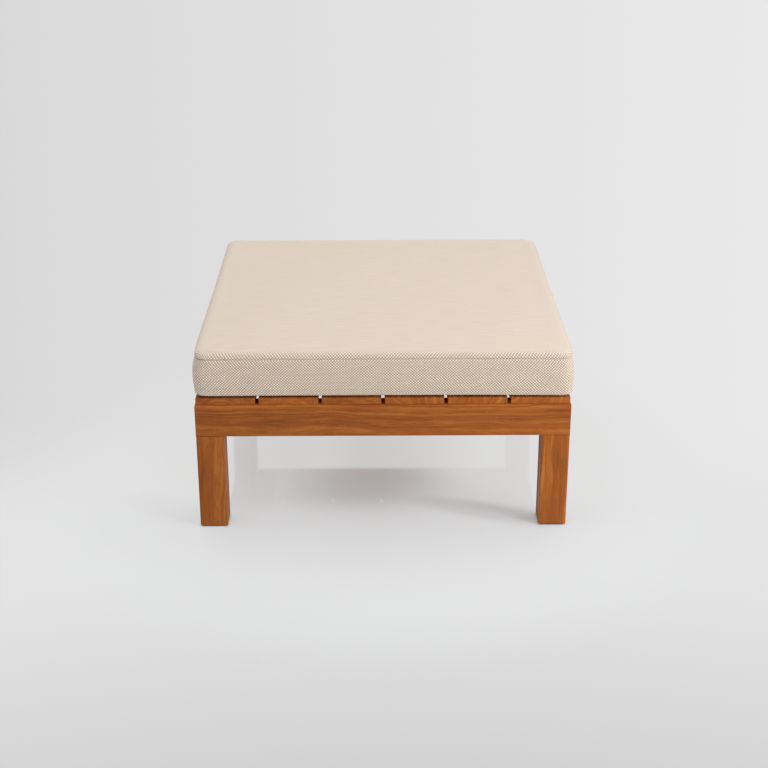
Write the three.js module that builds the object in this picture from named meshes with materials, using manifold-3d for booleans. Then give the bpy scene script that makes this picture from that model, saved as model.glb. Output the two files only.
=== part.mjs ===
// A low square footstool for a terrace: a teak frame of legs, rails and slats, and a loose zipped cushion on it.
// Millimetres, with +Z up. The front faces -Y, +X is on the right of someone who looks at the front, and the
// origin is on the floor under the middle of the stool.

import * as THREE from "three";
import { mergeVertices } from "three/addons/utils/BufferGeometryUtils.js";
import Module from "manifold-3d";

const wasm = await Module();
wasm.setup();

// Frame
const frameWidth = 750;
const frameDepth = 750;
const railUnderside = 203;
const jointGap = 0.3;
const cutOverrun = 2;

// Legs
const legSection = 56;
const legEdgeRadius = 3.5;
const legTenonSide = 24;
const legTenonHeight = 32;

// Foot glides, a disc with a pin that is driven into the leg
const glideDiameter = 26;
const glideThickness = 2.5;
const glideEdge = 0.8;
const glidePinDiameter = 6;
const glidePinLength = 16;

// Rails: the front and rear rails run the full width, and the side rails are tenoned into them
const railHeight = 66;
const railThickness = 40;
const railEdgeRadius = 3;
const railTenonThickness = 12;
const railTenonHeight = 18;
const railTenonLength = 22;
const railTenonDrop = 8;

// Centre bearer under the slats, tenoned into the side rails
const bearerWidth = 40;
const bearerHeight = 40;
const bearerEdgeRadius = 2;
const bearerTenonWidth = 14;
const bearerTenonHeight = 24;
const bearerTenonLength = 18;

// Slats, front to rear on top of the rails
const slatCount = 6;
const slatGap = 7;
const slatThickness = 14;
const slatSideInset = 2;
const slatSetback = 5;
const slatEdgeRadius = 2.5;

// Countersunk slat screws, a pair at each end of a slat
const slatScrew = { length: 35, shank: 4.5, head: 9, headDepth: 2.4, tip: 5 };
const slatScrewLand = 3;

// Corner blocks, glued and screwed into the inner corners of the rails
const blockSide = 36;
const blockHeight = 50;
const blockEdgeRadius = 2;
const blockScrew = { length: 54, shank: 5, head: 10, headDepth: 2.7, tip: 6 };
const blockScrewInset = 24;
const blockScrewLow = 15;
const blockScrewHigh = 35;
const screwClearance = 0.3;

// Cushion: how far its widest outline stands out over the frame, and its height from the deck to its top edge
const cushionOverhang = 2;
const cushionThickness = 101;
const cushionCrown = 4;
const cushionCornerRadius = 22;
const cushionBottomRadius = 17;
const cushionTopRadius = 16;
const cushionDrawIn = 6;
const cushionCornerDroop = 2.5;
const seamDepth = 1.2;
const seamHalfWidth = 3;
const coverThickness = 1.5;
const foamClearance = 0.4;

// Zip in the rear of the cover
const zipEndInset = 77;
const zipHem = 3;
const zipTapeWidth = 22;
const zipTapeThickness = 1;
const zipTapeRecess = 0.25;
const zipCoilWidth = 5;
const zipCoilHeight = 1.7;
const zipEndMargin = 6;

// Zip slider: a channel over the coil, with an arch that holds the pull's crossbar
const sliderLength = 12;
const sliderFlange = 1.8;
const sliderRoof = 1.6;
const archLength = 11;
const archWidth = 2.4;
const archPost = 1.4;
const archRoof = 1;

// Zip pull: a flat tab with a loop round the arch
const pullLength = 25;
const pullWidth = 8;
const pullThickness = 1.2;
const pullCrossbar = 1.4;
const pullRunningGap = 0.25;
const pullCornerRadius = 1.2;

// How finely round shapes are stepped
const edgeSteps = 3;
const easeSteps = 2;
const plainSteps = 1;
const screwSides = 8;
const glideSides = 16;
const cornerSteps = 4;
const sideSteps = 4;
const coverArcSteps = 3;
const innerArcSteps = 2;
const mergeTolerance = 1e-3;

// How much of the edge radius the ends of a board are eased by
const easeShare = 0.7;
// Where the rings of the cushion's crowned top lie, from its edge to its middle
const crownShares = [0.14, 0.34, 0.58, 0.82];
// The largest part of a small ring that its round corners take
const ringCornerShare = 0.6;
const crownPower = 3;
const droopPower = 8;

const quarter = Math.PI / 2;

// Sizes that follow from the ones above
const slatWidth = (frameWidth - 2 * slatSideInset - (slatCount - 1) * slatGap) / slatCount;
const slatPitch = slatWidth + slatGap;
const legX = (frameWidth - legSection) / 2;
const legY = (frameDepth - legSection) / 2;
const railX = (frameWidth - railThickness) / 2;
const railY = (frameDepth - railThickness) / 2;
const innerX = frameWidth / 2 - railThickness;
const innerY = frameDepth / 2 - railThickness;
const railTop = railUnderside + railHeight;
const deckTop = railTop + jointGap + slatThickness;
const cushionBase = deckTop + jointGap;
const slatX = (index) => (index - (slatCount - 1) / 2) * slatPitch;
const cushionWidth = frameWidth + 2 * cushionOverhang;
const cushionDepth = frameDepth + 2 * cushionOverhang;
const zipLength = cushionWidth - 2 * zipEndInset;

// The outermost screws of the deck stand just inside the tenons of the side rails, and all slats have their spread.
const outerScrewX = railX - railTenonThickness / 2 - slatScrewLand - slatScrew.shank / 2;
const slatScrewSpread = 2 * (outerScrewX - slatX(slatCount - 1));

// A solid for cutting and joining, from any closed geometry.
function solid(geometry) {
  const bare = geometry.clone();
  bare.deleteAttribute("normal");
  bare.deleteAttribute("uv");
  const merged = mergeVertices(bare, mergeTolerance);
  const vertProperties = merged.getAttribute("position").array;
  const triVerts = new Uint32Array(merged.index.array);
  return new wasm.Manifold(new wasm.Mesh({ numProp: 3, vertProperties, triVerts }));
}

// The geometry of a cut or joined solid.
function geometryOf(body) {
  const data = body.getMesh();
  const geometry = new THREE.BufferGeometry();
  geometry.setAttribute("position", new THREE.BufferAttribute(data.vertProperties, 3));
  geometry.setIndex(new THREE.BufferAttribute(data.triVerts, 1));
  geometry.computeVertexNormals();
  return geometry;
}

function named(name, geometry, material) {
  const mesh = new THREE.Mesh(geometry, material);
  mesh.name = name;
  return mesh;
}

// A box between two corners.
function block(low, high) {
  const size = new THREE.Vector3().subVectors(high, low);
  const middle = new THREE.Vector3().addVectors(low, high).multiplyScalar(1 / 2);
  return new THREE.BoxGeometry(size.x, size.y, size.z).translate(middle.x, middle.y, middle.z);
}

const point = (x, y, z) => new THREE.Vector3(x, y, z);

function roundedRectangle(width, height, radius) {
  const x = width / 2 - radius;
  const y = height / 2 - radius;
  const outline = new THREE.Shape();
  outline.absarc(x, y, radius, 0, quarter);
  outline.absarc(-x, y, radius, quarter, 2 * quarter);
  outline.absarc(-x, -y, radius, 2 * quarter, 3 * quarter);
  outline.absarc(x, -y, radius, 3 * quarter, 4 * quarter);
  return outline;
}

// A planed board with rounded edges and eased ends, standing along Z and centred on the origin.
// With one step along and across an edge, the rounding is a plain chamfer.
function timber(width, depth, length, radius, along = easeSteps, across = edgeSteps) {
  const ease = radius * easeShare;
  return new THREE.ExtrudeGeometry(roundedRectangle(width, depth, radius), {
    depth: length - 2 * ease,
    bevelThickness: ease,
    bevelSize: ease,
    bevelOffset: -ease,
    bevelSegments: along,
    curveSegments: across,
  }).translate(0, 0, ease - length / 2);
}

const chamfered = (width, depth, length, radius) =>
  timber(width, depth, length, radius, plainSteps, plainSteps);

// The outline that a countersunk screw turns about Z, from its tip up to the flat of its head at z = 0.
function screwOutline(size, clearance) {
  const shank = size.shank / 2 + clearance;
  const head = size.head / 2 + clearance;
  return [
    new THREE.Vector2(0, -size.length - clearance),
    new THREE.Vector2(shank, size.tip - size.length - clearance),
    new THREE.Vector2(shank, -size.headDepth - clearance),
    new THREE.Vector2(head, -clearance),
  ];
}

function screwGeometry(size) {
  const outline = screwOutline(size, 0);
  outline.push(new THREE.Vector2(0, 0));
  return new THREE.LatheGeometry(outline, screwSides);
}

// The hole for a screw, open above its head.
function screwHole(size) {
  const outline = screwOutline(size, screwClearance);
  outline.push(new THREE.Vector2(size.head / 2 + screwClearance, cutOverrun));
  outline.push(new THREE.Vector2(0, cutOverrun));
  return new THREE.LatheGeometry(outline, screwSides);
}

// Lathed shapes stand along Y in three.js: this stands one along Z.
const upright = (geometry) => geometry.rotateX(quarter);

// One leg: square, eased at the foot, cut flat at the top, with a tenon for the rail above it.
function legGeometry() {
  const length = railUnderside - jointGap - glideThickness - jointGap;
  const spare = legEdgeRadius;
  const half = legSection;
  const tenonY = (legSection - railThickness) / 2;
  const tenonTop = length + jointGap + legTenonHeight;
  const pinHole = new THREE.CylinderGeometry(
    glidePinDiameter / 2 + jointGap,
    glidePinDiameter / 2 + jointGap,
    glidePinLength + jointGap + cutOverrun,
    screwSides,
  );
  upright(pinHole).translate(0, 0, (glidePinLength + jointGap - cutOverrun) / 2);
  const blank = timber(legSection, legSection, length + spare, legEdgeRadius);
  const body = solid(blank.translate(0, 0, (length + spare) / 2))
    .subtract(solid(block(point(-half, -half, length), point(half, half, length + 2 * spare))))
    .add(
      solid(
        block(
          point(-legTenonSide / 2, tenonY - legTenonSide / 2, length - cutOverrun),
          point(legTenonSide / 2, tenonY + legTenonSide / 2, tenonTop),
        ),
      ),
    )
    .subtract(solid(pinHole));
  return geometryOf(body);
}

// One foot glide, from the floor up.
function glideGeometry() {
  const disc = glideDiameter / 2;
  const pin = glidePinDiameter / 2;
  const outline = [
    new THREE.Vector2(0, 0),
    new THREE.Vector2(disc - glideEdge, 0),
    new THREE.Vector2(disc, glideEdge),
    new THREE.Vector2(disc, glideThickness),
    new THREE.Vector2(pin, glideThickness),
    new THREE.Vector2(pin, glideThickness + glidePinLength),
    new THREE.Vector2(0, glideThickness + glidePinLength),
  ];
  return upright(new THREE.LatheGeometry(outline, glideSides));
}

// The front rail, its outer face towards -Y, standing on z = 0: it takes the legs, the side rails and screws.
function longRailGeometry() {
  const blank = timber(railHeight, railThickness, frameWidth, railEdgeRadius).rotateY(quarter);
  let body = solid(blank.translate(0, 0, railHeight / 2));
  const legHole = legTenonSide / 2 + jointGap;
  const tenonTop = railHeight - railTenonDrop;
  const tenonHalf = railTenonThickness / 2 + jointGap;
  for (const side of [-1, 1]) {
    const x = side * legX;
    const mortise = block(
      point(x - legHole, -legHole, -cutOverrun),
      point(x + legHole, legHole, legTenonHeight + jointGap),
    );
    const tenonX = side * railX;
    const slot = block(
      point(
        tenonX - tenonHalf,
        railThickness / 2 - railTenonLength - jointGap,
        tenonTop - railTenonHeight - jointGap,
      ),
      point(tenonX + tenonHalf, railThickness / 2 + cutOverrun, tenonTop + jointGap),
    );
    const blockHole = upright(screwHole(blockScrew)).rotateX(-quarter);
    blockHole.translate(
      side * (innerX - jointGap - blockScrewInset),
      railThickness / 2 + jointGap + blockSide,
      blockScrewLow,
    );
    body = body.subtract(solid(mortise)).subtract(solid(slot)).subtract(solid(blockHole));
  }
  for (let index = 0; index < slatCount; index++) {
    for (const side of [-1, 1]) {
      const hole = upright(screwHole(slatScrew));
      hole.translate(slatX(index) + (side * slatScrewSpread) / 2, 0, deckTop - railUnderside);
      body = body.subtract(solid(hole));
    }
  }
  return geometryOf(body);
}

// The left side rail, its outer face towards -X, standing on z = 0, with a tenon at each end.
function sideRailGeometry() {
  const length = frameDepth - 2 * railThickness - 2 * jointGap;
  const blank = timber(railThickness, railHeight, length, railEdgeRadius).rotateX(-quarter);
  let body = solid(blank.translate(0, 0, railHeight / 2));
  const reach = innerY + railTenonLength;
  const top = railHeight - railTenonDrop;
  const tenon = block(
    point(-railTenonThickness / 2, -reach, top - railTenonHeight),
    point(railTenonThickness / 2, reach, top),
  );
  const bearerHalf = bearerTenonWidth / 2 + jointGap;
  const bearerLow = railHeight - (bearerHeight + bearerTenonHeight) / 2 - jointGap;
  const bearerHigh = railHeight - (bearerHeight - bearerTenonHeight) / 2 + jointGap;
  const slot = block(
    point(railThickness / 2 - bearerTenonLength - jointGap, -bearerHalf, bearerLow),
    point(railThickness / 2 + cutOverrun, bearerHalf, bearerHigh),
  );
  body = body.add(solid(tenon)).subtract(solid(slot));
  for (const side of [-1, 1]) {
    const hole = upright(screwHole(blockScrew)).rotateY(quarter);
    hole.translate(
      railThickness / 2 + jointGap + blockSide,
      side * (innerY - jointGap - blockScrewInset),
      blockScrewHigh,
    );
    body = body.subtract(solid(hole));
  }
  return geometryOf(body);
}

// The centre bearer along X, standing on z = 0, with a tenon at each end and a screw hole under each slat.
function bearerGeometry() {
  const length = 2 * (innerX - jointGap);
  const blank = chamfered(bearerHeight, bearerWidth, length, bearerEdgeRadius).rotateY(quarter);
  let body = solid(blank.translate(0, 0, bearerHeight / 2));
  const reach = innerX + bearerTenonLength;
  const tenon = block(
    point(-reach, -bearerTenonWidth / 2, (bearerHeight - bearerTenonHeight) / 2),
    point(reach, bearerTenonWidth / 2, (bearerHeight + bearerTenonHeight) / 2),
  );
  body = body.add(solid(tenon));
  for (let index = 0; index < slatCount; index++) {
    const hole = upright(screwHole(slatScrew));
    hole.translate(slatX(index), 0, bearerHeight + jointGap + slatThickness);
    body = body.subtract(solid(hole));
  }
  return geometryOf(body);
}

// One slat along Y, its underside on z = 0, with countersunk holes at its ends and over the bearer.
function slatGeometry() {
  const length = frameDepth - 2 * slatSetback;
  const blank = timber(slatWidth, slatThickness, length, slatEdgeRadius, plainSteps);
  blank.rotateX(-quarter);
  let body = solid(blank.translate(0, 0, slatThickness / 2));
  const places = [[0, 0]];
  for (const x of [-slatScrewSpread / 2, slatScrewSpread / 2]) {
    for (const y of [-railY, railY]) {
      places.push([x, y]);
    }
  }
  for (const [x, y] of places) {
    const hole = upright(screwHole(slatScrew)).translate(x, y, slatThickness);
    body = body.subtract(solid(hole));
  }
  return geometryOf(body);
}

// One corner block, standing on z = 0 with its outer corner on the Z axis and its body towards -X and -Y.
function blockGeometry() {
  const blank = chamfered(blockSide, blockSide, blockHeight, blockEdgeRadius);
  blank.translate(-blockSide / 2, -blockSide / 2, blockHeight / 2);
  const towardsY = upright(screwHole(blockScrew)).rotateX(quarter);
  towardsY.translate(-blockScrewInset, -blockSide, blockScrewLow);
  const towardsX = upright(screwHole(blockScrew)).rotateY(-quarter);
  towardsX.translate(-blockSide, -blockScrewInset, blockScrewHigh);
  return geometryOf(solid(blank).subtract(solid(towardsY)).subtract(solid(towardsX)));
}

// Heights in the cushion, from its underside, in the order in which they follow each other.
const zipLow = cushionBottomRadius + zipHem;
const zipHigh = zipLow + zipTapeWidth + 2 * zipHem;
const seamHeight = cushionThickness - cushionTopRadius;
const widestHeight = (zipHigh + seamHeight) / 2;

// How far the side of the cushion is drawn in at a height under its widest line.
function drawnIn(height) {
  const below = (widestHeight - height) / (widestHeight - cushionBottomRadius);
  return cushionDrawIn * below * below;
}

// The cushion's section as pairs of how far in and how high, from the underside to the top.
// The inset is the distance inside the cover's outer face.
function cushionSection(inset, arcSteps, withSeam) {
  const section = [];
  for (let step = 0; step <= arcSteps; step++) {
    const turn = (quarter * step) / arcSteps;
    const radius = cushionBottomRadius - inset;
    section.push([
      cushionDrawIn + cushionBottomRadius - radius * Math.sin(turn),
      cushionBottomRadius - radius * Math.cos(turn),
    ]);
  }
  for (const height of [zipLow, zipHigh, widestHeight]) {
    section.push([drawnIn(height) + inset, height]);
  }
  if (withSeam) {
    section.push([inset, seamHeight - seamHalfWidth]);
    section.push([inset + seamDepth, seamHeight]);
  }
  for (let step = withSeam ? 1 : 0; step <= arcSteps; step++) {
    const turn = (quarter * step) / arcSteps;
    const radius = cushionTopRadius - inset;
    section.push([
      cushionTopRadius - radius * Math.cos(turn),
      seamHeight + radius * Math.sin(turn),
    ]);
  }
  const reach = Math.min(cushionWidth, cushionDepth) / 2 - cushionTopRadius;
  for (const share of crownShares) {
    section.push([cushionTopRadius + reach * share, cushionThickness - inset]);
  }
  return section;
}

// How much a point of the cushion is raised by the crown of its top and lowered near its corners.
function swell(x, y, height) {
  const alongX = Math.min(1, Math.abs(x) / (cushionWidth / 2));
  const alongY = Math.min(1, Math.abs(y) / (cushionDepth / 2));
  const crown = (1 - alongX ** crownPower) * (1 - alongY ** crownPower);
  const corner = (alongX * alongY) ** droopPower;
  const above = Math.max(0, (height - zipHigh) / (cushionThickness - zipHigh));
  const top = height > seamHeight ? (height - seamHeight) / cushionTopRadius : 0;
  return cushionCrown * crown * Math.min(1, top) - cushionCornerDroop * corner * above;
}

// A ring of points, seen anticlockwise from above, a distance in from the cushion's widest outline.
function cushionRing(inward, height) {
  const halfX = cushionWidth / 2 - inward;
  const halfY = cushionDepth / 2 - inward;
  const radius = Math.min(cushionCornerRadius, halfX * ringCornerShare, halfY * ringCornerShare);
  const corners = [
    [halfX - radius, halfY - radius],
    [radius - halfX, halfY - radius],
    [radius - halfX, radius - halfY],
    [halfX - radius, radius - halfY],
  ];
  const ring = [];
  corners.forEach(([x, y], index) => {
    for (let step = 0; step <= cornerSteps; step++) {
      const turn = quarter * (index + step / cornerSteps);
      ring.push(new THREE.Vector2(x + radius * Math.cos(turn), y + radius * Math.sin(turn)));
    }
    const next = corners[(index + 1) % corners.length];
    const turn = quarter * (index + 1);
    const start = ring[ring.length - 1].clone();
    const end = new THREE.Vector2(next[0] + radius * Math.cos(turn), next[1] + radius * Math.sin(turn));
    for (let step = 1; step < sideSteps; step++) {
      ring.push(start.clone().lerp(end, step / sideSteps));
    }
  });
  return ring.map((p) => point(p.x, p.y, height + swell(p.x, p.y, height)));
}

// A crowned cushion shape, closed, with its underside at the height of the inset.
function cushionGeometry(inset, arcSteps, withSeam) {
  const section = cushionSection(inset, arcSteps, withSeam);
  const rings = section.map(([inward, height]) => cushionRing(inward, height));
  const count = rings[0].length;
  const positions = rings.flat().flatMap((p) => [p.x, p.y, p.z]);
  const bottom = rings.length * count;
  const top = bottom + 1;
  positions.push(0, 0, inset);
  positions.push(0, 0, cushionThickness - inset + cushionCrown);
  const triangles = [];
  for (let place = 0; place < count; place++) {
    const next = (place + 1) % count;
    triangles.push(bottom, next, place);
    for (let level = 0; level + 1 < rings.length; level++) {
      const low = level * count;
      const high = low + count;
      triangles.push(low + place, low + next, high + next);
      triangles.push(low + place, high + next, high + place);
    }
    const last = (rings.length - 1) * count;
    triangles.push(top, last + place, last + next);
  }
  const geometry = new THREE.BufferGeometry();
  geometry.setAttribute("position", new THREE.Float32BufferAttribute(positions, 3));
  geometry.setIndex(triangles);
  return geometry;
}

// The zip lies on the flat band in the rear of the cushion: its own frame has +Y out of the cover and +Z up the band.
const zipHeight = (zipLow + zipHigh) / 2;
const zipTilt = Math.atan2(drawnIn(zipLow) - drawnIn(zipHigh), zipHigh - zipLow);
const zipY = cushionDepth / 2 - (drawnIn(zipLow) + drawnIn(zipHigh)) / 2;
const onZipBand = (geometry) => geometry.rotateX(-zipTilt).translate(0, zipY, zipHeight);

// The fabric cover: a shell with a crowned top, a seam round its upper edge and a long slot for the zip.
function coverGeometry() {
  const outer = solid(cushionGeometry(0, coverArcSteps, true));
  const cavity = solid(cushionGeometry(coverThickness, innerArcSteps, false));
  const slotX = zipLength / 2 + jointGap;
  const slotZ = zipTapeWidth / 2 + jointGap;
  const slot = block(point(-slotX, -coverThickness - cutOverrun, -slotZ), point(slotX, cutOverrun, slotZ));
  return geometryOf(outer.subtract(cavity).subtract(solid(onZipBand(slot))));
}

// The zip tape with its coil, in the zip's own frame.
function zipTapeGeometry() {
  const tapeFace = -zipTapeRecess;
  const tape = block(
    point(-zipLength / 2, tapeFace - zipTapeThickness, -zipTapeWidth / 2),
    point(zipLength / 2, tapeFace, zipTapeWidth / 2),
  );
  const coil = block(
    point(-zipLength / 2, tapeFace - zipTapeThickness / 2, -zipCoilWidth / 2),
    point(zipLength / 2, tapeFace + zipCoilHeight, zipCoilWidth / 2),
  );
  return geometryOf(solid(tape).add(solid(coil)));
}

// Heights of the slider and its arch over the cover, in the zip's own frame.
const sliderFloor = zipCoilHeight - zipTapeRecess + jointGap;
const sliderTop = sliderFloor + sliderRoof;
const pullSweep = Math.hypot(pullThickness, pullCrossbar) / 2;
const pullAxis = sliderTop + pullRunningGap + pullSweep;
const archCeiling = pullAxis + pullSweep + pullRunningGap;
const archTop = archCeiling + archRoof;
const sliderWidth = zipCoilWidth + 2 * jointGap + 2 * sliderFlange;

// The zip slider, in the zip's own frame and centred on it.
function sliderGeometry() {
  const halfX = sliderLength / 2;
  const halfZ = sliderWidth / 2;
  const foot = jointGap - zipTapeRecess;
  const channelZ = zipCoilWidth / 2 + jointGap;
  const shell = solid(block(point(-halfX, foot, -halfZ), point(halfX, sliderTop, halfZ)));
  const channel = block(
    point(-halfX - cutOverrun, foot - cutOverrun, -channelZ),
    point(halfX + cutOverrun, sliderFloor, channelZ),
  );
  const arch = block(
    point(-archLength / 2, sliderFloor + sliderRoof / 2, -archWidth / 2),
    point(archLength / 2, archTop, archWidth / 2),
  );
  const window = block(
    point(archPost - archLength / 2, sliderTop, -archWidth),
    point(archLength / 2 - archPost, archCeiling, archWidth),
  );
  return geometryOf(shell.subtract(solid(channel)).add(solid(arch).subtract(solid(window))));
}

// The zip pull, about the axis of its crossbar and pointing to -X.
function pullGeometry() {
  const loopEnd = Math.hypot(archLength / 2, archTop - pullAxis) + 2 * pullRunningGap;
  const loopHalf = archWidth / 2 + 2 * pullRunningGap;
  const tab = roundedRectangle(pullLength, pullWidth, pullCornerRadius);
  const hole = new THREE.Path();
  const middle = pullLength / 2 - pullCrossbar / 2;
  hole.moveTo(middle - pullCrossbar / 2, -loopHalf);
  hole.lineTo(middle - pullCrossbar / 2, loopHalf);
  hole.lineTo(middle - loopEnd, loopHalf);
  hole.lineTo(middle - loopEnd, -loopHalf);
  tab.holes.push(hole);
  const plate = new THREE.ExtrudeGeometry(tab, {
    depth: pullThickness,
    bevelEnabled: false,
    curveSegments: easeSteps,
  });
  return plate.translate(-middle, 0, -pullThickness / 2).rotateX(quarter);
}

const finish = (color, roughness, metalness) =>
  new THREE.MeshStandardMaterial({ color, roughness, metalness });

const teak = finish(0x9a5c2c, 0.55, 0);
const paleTeak = finish(0xa56230, 0.55, 0);
const steel = finish(0xb9babb, 0.35, 1);
const nylon = finish(0x2c2b2a, 0.6, 0);
const cloth = finish(0xc8b9a7, 0.95, 0);
const foam = finish(0xe9e4d6, 1, 0);
const tape = finish(0xb8a994, 0.9, 0);
const zipMetal = finish(0x8d8a84, 0.4, 1);

// One corner of the frame in the quarter of +X and +Y: leg, glide, corner block and its two screws.
function corner(name, geometry) {
  const group = new THREE.Group();
  const leg = named(`leg_${name}`, geometry.leg, paleTeak);
  leg.position.set(legX, legY, glideThickness + jointGap);
  const glide = named(`foot_glide_${name}`, geometry.glide, nylon);
  glide.position.set(legX, legY, 0);
  const cornerBlock = named(`corner_block_${name}`, geometry.block, teak);
  cornerBlock.position.set(innerX - jointGap, innerY - jointGap, railUnderside);
  const longScrew = named(`block_screw_${name}_1`, geometry.blockScrew, steel);
  longScrew.position.set(-blockScrewInset, -blockSide, blockScrewLow);
  longScrew.rotation.x = quarter;
  const sideScrew = named(`block_screw_${name}_2`, geometry.blockScrew, steel);
  sideScrew.position.set(-blockSide, -blockScrewInset, blockScrewHigh);
  sideScrew.rotation.y = -quarter;
  cornerBlock.add(longScrew, sideScrew);
  group.add(leg, glide, cornerBlock);
  return group;
}

function corners() {
  const geometry = {
    leg: legGeometry(),
    glide: glideGeometry(),
    block: blockGeometry(),
    blockScrew: upright(screwGeometry(blockScrew)),
  };
  const group = new THREE.Group();
  for (const [end, y] of [["front", -1], ["rear", 1]]) {
    for (const [side, x] of [["left", -1], ["right", 1]]) {
      const each = corner(`${end}_${side}`, geometry);
      each.scale.set(x, y, 1);
      group.add(each);
    }
  }
  return group;
}

function rails() {
  const long = longRailGeometry();
  const side = sideRailGeometry();
  const front = named("rail_front", long, teak);
  front.position.set(0, -railY, railUnderside);
  const rear = named("rail_rear", long, teak);
  rear.position.set(0, railY, railUnderside);
  rear.rotation.z = 2 * quarter;
  const left = named("rail_left", side, teak);
  left.position.set(-railX, 0, railUnderside);
  const right = named("rail_right", side, teak);
  right.position.set(railX, 0, railUnderside);
  right.rotation.z = 2 * quarter;
  const bearer = named("centre_bearer", bearerGeometry(), teak);
  bearer.position.set(0, 0, railTop - bearerHeight);
  return new THREE.Group().add(front, rear, left, right, bearer);
}

// The deck: each slat carries its own four end screws.
function deck() {
  const geometry = slatGeometry();
  const screw = upright(screwGeometry(slatScrew));
  const group = new THREE.Group();
  group.position.z = railTop + jointGap;
  for (let index = 0; index < slatCount; index++) {
    const slat = named(`slat_${index + 1}`, geometry, teak);
    slat.position.x = slatX(index);
    let count = 0;
    for (const y of [-railY, railY]) {
      for (const x of [-slatScrewSpread / 2, slatScrewSpread / 2]) {
        count += 1;
        const each = named(`slat_${index + 1}_screw_${count}`, screw, steel);
        each.position.set(x, y, slatThickness);
        slat.add(each);
      }
    }
    group.add(slat);
  }
  return group;
}

function cushion() {
  const group = new THREE.Group();
  group.position.z = cushionBase;
  const cover = named("cushion_cover", coverGeometry(), cloth);
  const coreGeometry = cushionGeometry(coverThickness + foamClearance, innerArcSteps, false);
  const core = named("foam_core", coreGeometry, foam);
  const zip = named("zip_tape", zipTapeGeometry(), tape);
  zip.position.set(0, zipY, zipHeight);
  zip.rotation.x = -zipTilt;
  const slider = named("zip_slider", sliderGeometry(), zipMetal);
  slider.position.x = zipLength / 2 - zipEndMargin - sliderLength / 2;
  const pull = named("zip_pull", pullGeometry(), zipMetal);
  pull.position.y = pullAxis;
  slider.add(pull);
  zip.add(slider);
  group.add(cover, core, zip);
  return group;
}

const footstool = new THREE.Group();
footstool.add(corners(), rails(), deck(), cushion());

export default footstool;
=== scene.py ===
# A low square footstool for a terrace: a teak frame of rails, legs and slats, and a loose zipped cushion on it.
# Metres, with +Z up. The front faces -Y, and the origin is on the floor under the middle of the stool.

import math
import random

import bmesh
import bpy
from mathutils import Matrix, Vector


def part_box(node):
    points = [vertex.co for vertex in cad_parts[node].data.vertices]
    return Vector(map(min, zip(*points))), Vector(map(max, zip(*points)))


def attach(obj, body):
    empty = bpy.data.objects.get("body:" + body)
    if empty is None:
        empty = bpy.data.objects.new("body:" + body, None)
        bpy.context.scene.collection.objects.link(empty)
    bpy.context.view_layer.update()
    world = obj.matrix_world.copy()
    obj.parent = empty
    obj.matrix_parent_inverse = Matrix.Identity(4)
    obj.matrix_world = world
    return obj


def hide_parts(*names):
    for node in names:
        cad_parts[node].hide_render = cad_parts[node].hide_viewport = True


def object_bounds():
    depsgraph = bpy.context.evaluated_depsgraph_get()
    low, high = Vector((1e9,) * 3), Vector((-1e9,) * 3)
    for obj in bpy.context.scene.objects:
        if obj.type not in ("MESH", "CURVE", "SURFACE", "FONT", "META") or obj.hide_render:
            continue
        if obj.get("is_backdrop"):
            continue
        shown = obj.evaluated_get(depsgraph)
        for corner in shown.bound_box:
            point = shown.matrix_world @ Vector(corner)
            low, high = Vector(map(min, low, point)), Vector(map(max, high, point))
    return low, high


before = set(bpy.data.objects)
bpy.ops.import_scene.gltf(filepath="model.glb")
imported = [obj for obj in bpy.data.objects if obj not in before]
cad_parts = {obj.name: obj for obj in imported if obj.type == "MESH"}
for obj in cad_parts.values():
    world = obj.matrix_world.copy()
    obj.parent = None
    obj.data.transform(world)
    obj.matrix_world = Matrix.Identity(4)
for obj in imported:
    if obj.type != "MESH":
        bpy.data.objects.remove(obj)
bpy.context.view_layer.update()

# Camera. It stands where the photograph was taken from: three metres in front of the stool, well above it, and
# a little to the left of its middle, so that the cushion's top and front and the frame's front are seen.
camera_place = Vector((-0.0147, -3.0061, 1.3924))
camera_to_right = math.radians(0.364)
camera_down = math.radians(22.264)
camera_roll = math.radians(-0.103)
camera_lens = 67.51
camera_sensor = 36

camera = bpy.data.objects.new("camera", bpy.data.cameras.new("camera"))
camera.data.lens = camera_lens
camera.data.sensor_width = camera_sensor
bpy.context.scene.collection.objects.link(camera)
camera.matrix_world = (
    Matrix.Translation(camera_place)
    @ Matrix.Rotation(-camera_to_right, 4, "Z")
    @ Matrix.Rotation(math.pi / 2 - camera_down, 4, "X")
    @ Matrix.Rotation(camera_roll, 4, "Z")
)
bpy.context.scene.camera = camera
bpy.context.scene.view_settings.view_transform = "Standard"

# Studio. A plain pale floor takes the stool's soft shadow and, between the legs, a faint reflection of it. It
# fades into a pale surround. The light falls mostly from above, and one lamp stands on the right in front.
# A value in four numbers goes from the third to the fourth between the first two, which are places or heights.
floor_radius = 6
floor_sides = 96
floor_middle = (0, -0.1, 0)
floor_fade = (0.50, 0.85, 0, 1)
floor_colour = (0.64, 0.64, 0.635, 1)
floor_glow = (0.78, 0.78, 0.775, 1)
shadow_lift = (-0.36, -0.29, 0.54, 0.62)
shadow_lift_aside = [(-0.02, 0.26, 0, 0.23), (-0.03, -0.16, 0, 0.11), (-0.33, -0.37, 0, 0.12)]
shadow_lift_back = (-0.38, -0.18, 0.35, 1)
leg_shadow = {"place": (0.235, -0.318, 0), "turn": -0.354, "reach": (0.24, 0.058, 1)}
leg_shadow_depth = (0.25, 1, 0.33, 0)
foot_place = 0.347
foot_shadow = (0.024, 0.033, 0, 1)
shine_middle_x = -0.05
shine_aside = (0.03, 0.24, 0.30, 0.08)
shine_left = (-0.20, -0.24, 0, 0.15)
shine_edge = (0.335, 0.36, 1, 0)
shine_front = (-0.36, -0.21, 0, 1)
shine_rear = (0.12, 0.30, 1, 0)
shine_roughness = 0.05
shine_tilt = 0.0218
surround_wall = (-0.26, 0.26, 0.693, 0.815)
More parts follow.
